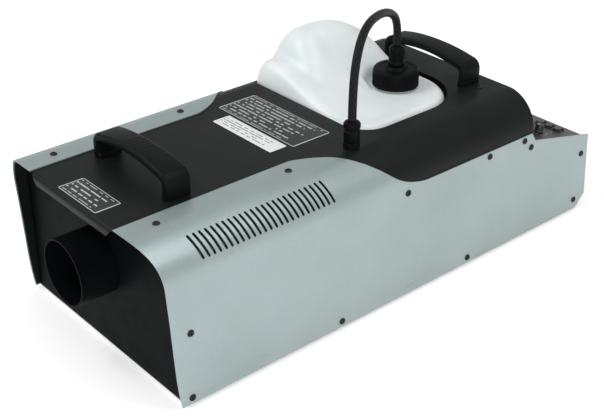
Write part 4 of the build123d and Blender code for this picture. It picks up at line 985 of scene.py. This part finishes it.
@dataclass
class CapAndPlug:
    """Screw cap with moulded ribs, and the hose's push-on plug above it."""

    x: float = 10.0
    y: float = 428.0
    cap_low: float = 194.0
    cap_top: float = 218.0
    cap_radius: float = 28.5
    rib_count: int = 60
    plug_low: float = 221.2
    plug_top: float = 243.0

    def build(self, look: Look) -> None:
        """Make the cap, its ribs, the plug and its knurl."""
        spot = Spot(Vector((self.x, station(self.y), 0)), UP)
        low, top = self.cap_low, self.cap_top
        r = self.cap_radius - 0.8
        loop = [(r - 1.6, low + 0.8), (r - 0.9, low), (r + 0.6, low), (r + 0.8, low + 0.9),
                (r + 0.6, low + 1.9), (r, low + 2.6), (r, top - 6.2), (r - 0.4, top - 4.6),
                (r - 1.6, top - 3.2), (r - 3.2, top - 2.7),
                (21.0, top - 2.6), (19.8, top - 3.4), (14.2, top - 3.4), (13.4, top - 2.8), (12.6, top - 0.8),
                (11.6, top), (5.6, top), (5.1, top - 0.5), (5.1, 211.6), (26.3, 211.6), (26.3, low + 1.0)]
        cap = turned("cap_shell", loop, spot, look["cap_black"], 96, hollow=True, crease=32)
        settle(cap, "cap", ["tank_cap"])
        tool = RibRing(look["cap_black"])
        ribs = tool.stand("cap_ribs", Vector((self.x, station(self.y), (low + top) / 2 - 2.4)),
                          self.rib_count, r - 0.1, 0.6, 14.6)
        settle(ribs, "cap", [])
        body = rounded([(5.2, 219.2), (10.4, 219.2), (10.4, 222.6), (9.2, 224.0), (9.2, self.plug_top - 3.4),
                        (8.4, self.plug_top - 1.4), (7.0, self.plug_top - 0.6), (6.2, self.plug_top),
                        (0.01, self.plug_top)], 0.5, 3)
        body = body + [(0.01, 235.0), (5.2, 235.0)]
        plug = turned("plug_body", body, spot, look["cap_black"], 64, hollow=True)
        settle(plug, "tank", ["hose_plug"])
        knurl = tool.stand("plug_knurl", Vector((self.x, station(self.y), self.plug_low + 10.4)), 28,
                           9.1, 0.35, 10.0)
        settle(knurl, "tank", [])
        self.pieces = [plug, knurl]


@dataclass
class Hose:
    """Woven fluid hose that loops from the deck to the tank's cap."""

    radius: float = 4.8
    length: float = 279.4
    sides: int = 20
    route: tuple[tuple[float, float, float], ...] = (
        (97.5, 274.5, 222.0), (97.5, 274.5, 246.0), (95.0, 278.8, 279.0), (86.9, 293.1, 304.5),
        (72.8, 317.8, 315.5), (52.1, 354.1, 311.5), (32.9, 387.9, 301.0), (18.4, 413.3, 286.5),
        (12.9, 423.0, 274.1), (10.0, 428.0, 259.0), (10.0, 428.0, 243.0))

    def line(self) -> list[Vector]:
        """Points along the smooth route, in metres, read from its spline."""
        data = bpy.data.curves.new("hose_route", "CURVE")
        data.dimensions = "3D"
        data.resolution_u = 12
        spline = data.splines.new("NURBS")
        spline.points.add(len(self.route) - 1)
        for point, (x, y, z) in zip(spline.points, self.route):
            point.co = (x * MM, station(y) * MM, z * MM, 1)
        spline.order_u = 3
        spline.use_endpoint_u = True
        carrier = bpy.data.objects.new("hose_route", data)
        bpy.context.scene.collection.objects.link(carrier)
        bpy.context.view_layer.update()
        mesh = bpy.data.meshes.new_from_object(carrier)
        points = [v.co.copy() for v in mesh.vertices]
        bpy.data.objects.remove(carrier)
        bpy.data.meshes.remove(mesh)
        return points

    def tube(self, line: Sequence[Vector], material: Material) -> Piece:
        """Tube round the line, mapped around and along."""
        rings, travelled = [], [0.0]
        side = Vector((1, 0, 0))
        for index, point in enumerate(line):
            before, after = line[max(index - 1, 0)], line[min(index + 1, len(line) - 1)]
            heading = (after - before).normalized()
            side = (side - heading * side.dot(heading)).normalized()
            up = heading.cross(side)
            if index:
                travelled.append(travelled[-1] + (point - line[index - 1]).length)
            ring = []
            for k in range(self.sides):
                angle = 2 * math.pi * k / self.sides
                ring.append(point + (side * math.cos(angle) + up * math.sin(angle)) * self.radius * MM)
            rings.append(ring)
        points, faces = skin(rings)
        mesh = bpy.data.meshes.new("hose")
        mesh.from_pydata(points, [], faces)
        layer = mesh.uv_layers.new(name="tube")
        for face in mesh.polygons:
            places = [divmod(mesh.loops[i].vertex_index, self.sides) for i in face.loop_indices]
            around = [k for _, k in places]
            wraps = max(around) - min(around) > self.sides / 2
            for i, (level, k) in zip(face.loop_indices, places):
                layer.data[i].uv = (1.0 if wraps and k == 0 else k / self.sides, travelled[level])
        work = bmesh.new()
        work.from_mesh(mesh)
        bmesh.ops.recalc_face_normals(work, faces=work.faces)
        work.to_mesh(mesh)
        work.free()
        mesh.shade_smooth()
        mesh.materials.append(material)
        piece = bpy.data.objects.new("hose", mesh)
        bpy.context.scene.collection.objects.link(piece)
        return piece

    def build(self, look: Look, on_plug: Sequence[Piece]) -> None:
        line = self.line()
        hose = self.tube(line, look["hose_braid"])
        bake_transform(hose)
        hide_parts("fluid_hose")
        LOG.info("hose follows %d points", len(line))


@dataclass
class Gland:
    """Relief that holds the hose upright on the deck."""

    x: float = 97.5
    y: float = 274.5
    low: float = 190.7
    top: float = 222.0

    def build(self, look: Look) -> None:
        """Make the hexagon, the smooth stalk and the knurled collar."""
        spot = Spot(Vector((self.x, station(self.y), 0)), UP)
        hexagon = [(5.8, self.low), (9.2, self.low), (9.6, self.low + 0.6), (9.6, self.low + 6.0),
                   (8.6, self.low + 7.2), (5.8, self.low + 7.2)]
        base = turned("gland_hexagon", hexagon, spot, look["cap_black"], 6, hollow=True, crease=20)
        settle(base, "case", ["hose_gland"])
        stalk = [(5.0, self.low + 7.0), (8.4, self.low + 7.0), (9.0, self.low + 8.0), (9.0, self.top - 10.4),
                 (8.3, self.top - 9.6), (8.3, self.top - 8.6), (8.8, self.top - 8.0), (9.1, self.top - 7.2),
                 (9.1, self.top - 2.4), (8.6, self.top - 1.2), (6.6, self.top - 0.8), (6.0, self.top),
                 (5.0, self.top)]
        piece = turned("gland_stalk", stalk, spot, look["cap_black"], 40, hollow=True, crease=40)
        settle(piece, "case", [])
        place = Vector((self.x, station(self.y), self.top - 4.8))
        knurl = RibRing(look["cap_black"]).stand("gland_knurl", place, 26, 9.1, 0.5, 4.4)
        settle(knurl, "case", [])


@dataclass
class ControlDeck:
    """Sloped panel with its knobs, buttons, lamps, display and rear rocker."""

    top_y: float = 533.0
    top_z: float = BASE_Z + 126.5
    end_y: float = 640.0
    end_z: float = BASE_Z + 101.0
    knob_along: float = 47.0
    button_along: float = 83.0
    dial: float = 10.4

    def spot(self, x: float, along: float, height: float = 0.0) -> Spot:
        """Place on the slope, along it from its top edge."""
        run, fall = self.end_y - self.top_y, self.top_z - self.end_z
        length = math.hypot(run, fall)
        down = Vector((0, run / length, -fall / length))
        normal = Vector((0, fall / length, run / length))
        origin = Vector((x, station(self.top_y), self.top_z)) + down * along + normal * height
        return Spot(origin, normal)

    def knob(self, name: str, node: str, x: float, along: float, look: Look) -> None:
        """One fluted knob with a pale pointer."""
        profile = rounded([(0.01, 0.6), (6.5, 0.6), (6.5, 2.0), (5.6, 3.0), (5.2, 10.2), (4.6, 11.0),
                           (0.01, 11.0)], 0.6, 3)

        def flute(angle: float, height: float) -> float:
            """Shallow flutes above the skirt."""
            return 1.0 - 0.05 * (0.5 + 0.5 * math.cos(angle * 14)) if 2.6 < height < 10.4 else 1.0

        body = turned(f"{name}_grip", profile, self.spot(x, along), look["knob_black"], 84, wave=flute,
                      crease=45)
        settle(body, name, [node])
        rings = []
        for dy, half in ((0.6, 0.45), (4.6, 0.55)):
            centre = self.spot(x, along - dy, 11.08).origin
            side = Vector((1, 0, 0))
            normal = self.spot(x, along).facing
            rings.append([centre + side * half, centre - side * half, centre - side * half - normal * 0.4,
                          centre + side * half - normal * 0.4])
        points, faces = skin(rings)
        settle(put(f"{name}_pointer", points, faces, look["white_ink"]), name, [])

    def build(self, look: Look) -> None:
        """Make the controls."""
        ticks = []
        slope = self.spot(0, 1).origin - self.spot(0, 0).origin
        for name, node, x in (("interval_knob", "knob_interval", 50.0),
                              ("duration_knob", "knob_duration", 84.0),
                              ("output_knob", "knob_output", 118.0)):
            self.knob(name, node, x, self.knob_along, look)
            for step in range(11):
                angle = math.radians(-140 + 28 * step)
                across, up = math.sin(angle), math.cos(angle)
                centre = self.spot(x + self.dial * across, self.knob_along - self.dial * up, 0.02)
                ticks.append(Spot(centre.origin, centre.facing, Vector((across, 0, 0)) - slope * up))
        pattern = put("tick_pattern", *skin([[Vector((x, y, z)) for y, z in
                                              ((0.28, 0.0), (0.28, 0.12), (-0.28, 0.12), (-0.28, 0.0))]
                                             for x in (-1.3, 1.3)]), look["white_ink"])
        tool = Scatter("tick_scatter", pattern, look["white_ink"])
        settle(tool.bake("dial_ticks", carrier_of(ticks), {"Scale": 1.0, "Spin": 0.0}), "case", [])
        bpy.data.objects.remove(pattern)
        for name, node, x in (("manual_button", "button_manual", 92.0),
                              ("timer_button", "button_timer", 106.0),
                              ("continuous_button", "button_continuous", 120.0)):
            profile = rounded([(0.01, -1.8), (4.95, -1.8), (4.95, 3.2), (4.2, 4.0), (2.4, 3.75),
                               (0.01, 3.6)], 0.6, 4)
            cap = turned(f"{name}_cap", profile, self.spot(x, self.button_along), look["button_grey"], 40,
                         crease=50)
            settle(cap, name, [node])
            ring = turned(f"{name}_ring", [(5.3, 0.02), (6.8, 0.02), (6.6, 0.7), (5.6, 0.9)],
                          self.spot(x, self.button_along), look["knob_black"], 40, hollow=True)
            settle(ring, "case", [])
        self.bezel(look)
        self.rocker(look)

    def bezel(self, look: Look) -> None:
        """Raised frame round the display window."""
        middle_x, middle_along, half_x, half_along = -50, 42, 28, 9
        rings = []
        for grow, height in ((0.3, 0.05), (4.0, 0.05), (3.4, 1.4), (1.2, 1.7), (0.3, 0.9)):
            rings.append([self.spot(middle_x + x, middle_along - y, height).origin
                          for x, y in round_box(half_x + grow, half_along + grow, 1.0 + grow * 0.5)])
        points, faces = skin(rings, loop=True)
        settle(put("display_bezel", points, faces, look["knob_black"], 30), "case", [])

    def rocker(self, look: Look) -> None:
        """Power rocker with softened edges."""
        x, z, y, tilt, pivot = 38.0, BASE_Z + 46.0, BACK_Y, math.radians(-8.0), BACK_Y - 3.0
        outline = [(-6.5, -9.6), (3.0, -10.4), (1.9, -5), (1.6, 0), (1.9, 5), (3.0, 10.4), (-6.5, 9.6)]
        rings = []
        for dx in (-8.2, 8.2):
            ring = []
            for dy, dz in outline:
                a, b = y + dy - pivot, dz
                ring.append(Vector((x + dx, pivot + a * math.cos(tilt) - b * math.sin(tilt),
                                    z + a * math.sin(tilt) + b * math.cos(tilt))))
            rings.append(ring)
        piece = put("rocker_cap", *skin(rings), look["rocker_red"], 30)
        bevel = piece.modifiers.new("soften", "BEVEL")
        bevel.width = 0.7 * MM
        bevel.segments = 3
        settle(piece, "rocker", ["power_rocker"])


@dataclass
class Labels:
    """Thin printed plates on the deck, with plain rows instead of wording."""

    thick: float = 0.12

    def plate(self, label: PrintedLabel, corner: float = 2.0) -> None:
        """One plate lying on the deck."""
        (x0, y0), (x1, y1) = label.low, label.high
        rings = []
        for z, grow in ((DECK_Z - 0.05, 0.0), (DECK_Z + self.thick, 0.0),
                        (DECK_Z + self.thick + 0.04, -0.15)):
            rings.append([Vector(((x0 + x1) / 2 + x, (y0 + y1) / 2 + y, z)) for x, y in
                          round_box((x1 - x0) / 2 + grow, (y1 - y0) / 2 + grow, corner + grow)])
        settle(put(label.name, *skin(rings), label.make(), 30), "case", [])

    def build(self, look: Look) -> None:
        """Lay the plates."""
        dark, pale = (0.016, 0.018, 0.017, 1), (0.42, 0.44, 0.43, 1)
        self.plate(PrintedLabel("front_plate", dark, pale, (-32.0, station(-17.0)), (40.0, station(14.0)), 5,
                                frame_line=True))
        self.plate(PrintedLabel("rating_plate", dark, pale, (-80.0, station(226.0)), (56.0, station(280.0)),
                                9, frame_line=True))
        self.plate(PrintedLabel("notice_plate", (0.66, 0.68, 0.67, 1), (0.10, 0.11, 0.11, 1),
                                (-54.0, station(198.0)), (50.0, station(222.0)), 6))


@dataclass
class Outlet:
    """Round fog outlet with a rolled rim."""

    radius: float = 37.5
    height: float = 110.0

    def build(self, look: Look) -> None:
        """Make the rolled rim and the inner heat shield."""
        spot = Spot(Vector((0, station(-39.0), self.height)), ALONG)
        rim = [(self.radius - 1.7, 0.4), (self.radius - 1.2, 0.02), (self.radius - 0.4, 0.02),
               (self.radius + 0.25, 0.5), (self.radius + 0.3, 1.6), (self.radius - 0.1, 2.4),
               (self.radius - 1.5, 2.4)]
        settle(turned("outlet_rim", rim, spot, look["front_black"], 96, hollow=True), "case", [])
        back = Spot(Vector((0, station(37.0), self.height)), ALONG)
        shield = [(12.0, 0), (35.8, 0), (35.8, 0.8), (12.0, 0.8)]
        settle(turned("outlet_shield", shield, back, look["front_black"], 72, hollow=True), "case", [])


class Plain(Enum):
    """CAD nodes that keep their own mesh, by finish."""

    side_silver = ("side_panel_right", "side_panel_left")
    deck_black = ("top_cover",)
    # The front, rear, outlet and tray parts take the darker copy of the deck black, which paints their shade
    # in.
    front_black = ("front_panel", "rear_panel", "rear_bulkhead", "outlet_tube", "outlet_flange",
                   "tank_tray")
    panel_grey = ("control_panel",)
    zinc_sheet = ("base_pan", "heater_bracket")
    screw_steel = ("foot_screws", "handle_screws")
    cap_black = ("intake_filter", "tank_stem")
    soft_rubber = ("rubber_feet", "cap_seal", "pump_mounts")
    lamp_red = ("panel_lamps",)
    window_dark = ("display_window",)
    socket_black = ("mains_inlet", "switch_frame", "fuse_holder", "fuse_cap")
    nickel = ("control_socket_in", "control_socket_out")
    cast_alloy = ("heater_block",)
    brass = ("gland_nut", "nozzle_tip", "heater_inlet", "pressure_line", "board_standoffs")
    fibre_wool = ("heater_lagging",)
    board_green = ("control_board", "main_board")
    clear_tube = ("pickup_tube", "suction_line", "terminal_block")
    laminated = ("heater_elements", "thermostat", "fluid_pump", "transformer")


def dress(look: Look) -> None:
    """Give every CAD node a finish; those that a piece replaces get one too, unseen."""
    named = {node: group.name for group in Plain for node in group.value}
    for name, node in frame["nodes"].items():
        material = look[named.get(name, "cap_black")]
        if not node.material_slots:
            node.data.materials.append(material)
        for slot in node.material_slots:
            slot.material = material
        LOG.info("%s is %s", name, material.name)


@dataclass
class Studio:
    """Pale floor, soft lights and the camera."""

    eye: tuple[float, float, float] = (0.92539, -0.81311, 0.76269)
    azimuth: float = 49.36
    elevation: float = 29.81
    lens: float = 69.13

    def lamp(self, name: str, place: Vector, aim: Vector, size: tuple[float, float], power: float) -> None:
        """One rectangular soft light."""
        data = bpy.data.lights.new(name, "AREA")
        data.shape = "RECTANGLE"
        data.size, data.size_y = size
        data.energy = power
        light = bpy.data.objects.new(name, data)
        turn = (aim - place).to_track_quat("-Z", "Y").to_matrix().to_4x4()
        light.matrix_world = Matrix.Translation(place) @ turn
        bpy.context.scene.collection.objects.link(light)

    def camera(self) -> None:
        """Place the camera."""
        data = bpy.data.cameras.new("camera")
        data.lens = self.lens
        data.sensor_width = 36.0
        data.sensor_fit = "HORIZONTAL"
        data.clip_end = 50.0
        eye = bpy.data.objects.new("camera", data)
        eye.location = self.eye
        eye.rotation_euler = (math.radians(90 - self.elevation), 0, math.radians(self.azimuth))
        bpy.context.scene.collection.objects.link(eye)
        bpy.context.scene.camera = eye

    def build(self) -> None:
        """Lay the floor and set the lights."""
        self.camera()
        mesh = bpy.data.meshes.new("floor")
        mesh.from_pydata([(-6, -6, 0), (6, -6, 0), (6, 6, 0), (-6, 6, 0)], [], [(0, 1, 2, 3)])
        mesh.materials.append(FloorPaper().make())
        floor = bpy.data.objects.new("floor", mesh)
        bpy.context.scene.collection.objects.link(floor)
        world = bpy.data.worlds.new("studio")
        world.use_nodes = True
        world.node_tree.nodes["Background"].inputs["Color"].default_value = (1, 1, 1, 1)
        world.node_tree.nodes["Background"].inputs["Strength"].default_value = 0.58
        bpy.context.scene.world = world
        bpy.context.scene.view_settings.view_transform = "Standard"
        middle = Vector((0, 0, 0.1))
        self.lamp("key", Vector((-0.9, -1.3, 1.9)), middle, (1.2, 1.0), 24)
        self.lamp("shoulder_strip", Vector((0.75, 0.25, 1.5)), middle, (0.35, 1.6), 9)
        self.lamp("side_fill", Vector((1.7, -1.3, 0.35)), Vector((0.15, -0.2, 0.06)), (1.0, 0.5), 13)


def main() -> None:
    """Build the scene in order, largest pieces first."""
    logging.basicConfig(level=logging.INFO, format="%(message)s")
    random.seed(7)
    Studio().build()
    look = Look()
    dress(look)
    cap = CapAndPlug()
    cap.build(look)
    Hose().build(look, cap.pieces)
    Gland().build(look)
    FluidTank().build(look)
    StrapHandle("front_strap", "front_handle", 64.5).build(look)
    StrapHandle("rear_strap", "rear_handle", 500.0).build(look)
    Fasteners().build(look)
    ControlDeck().build(look)
    Labels().build(look)
    Outlet().build(look)


if __name__ == "__main__":
    main()
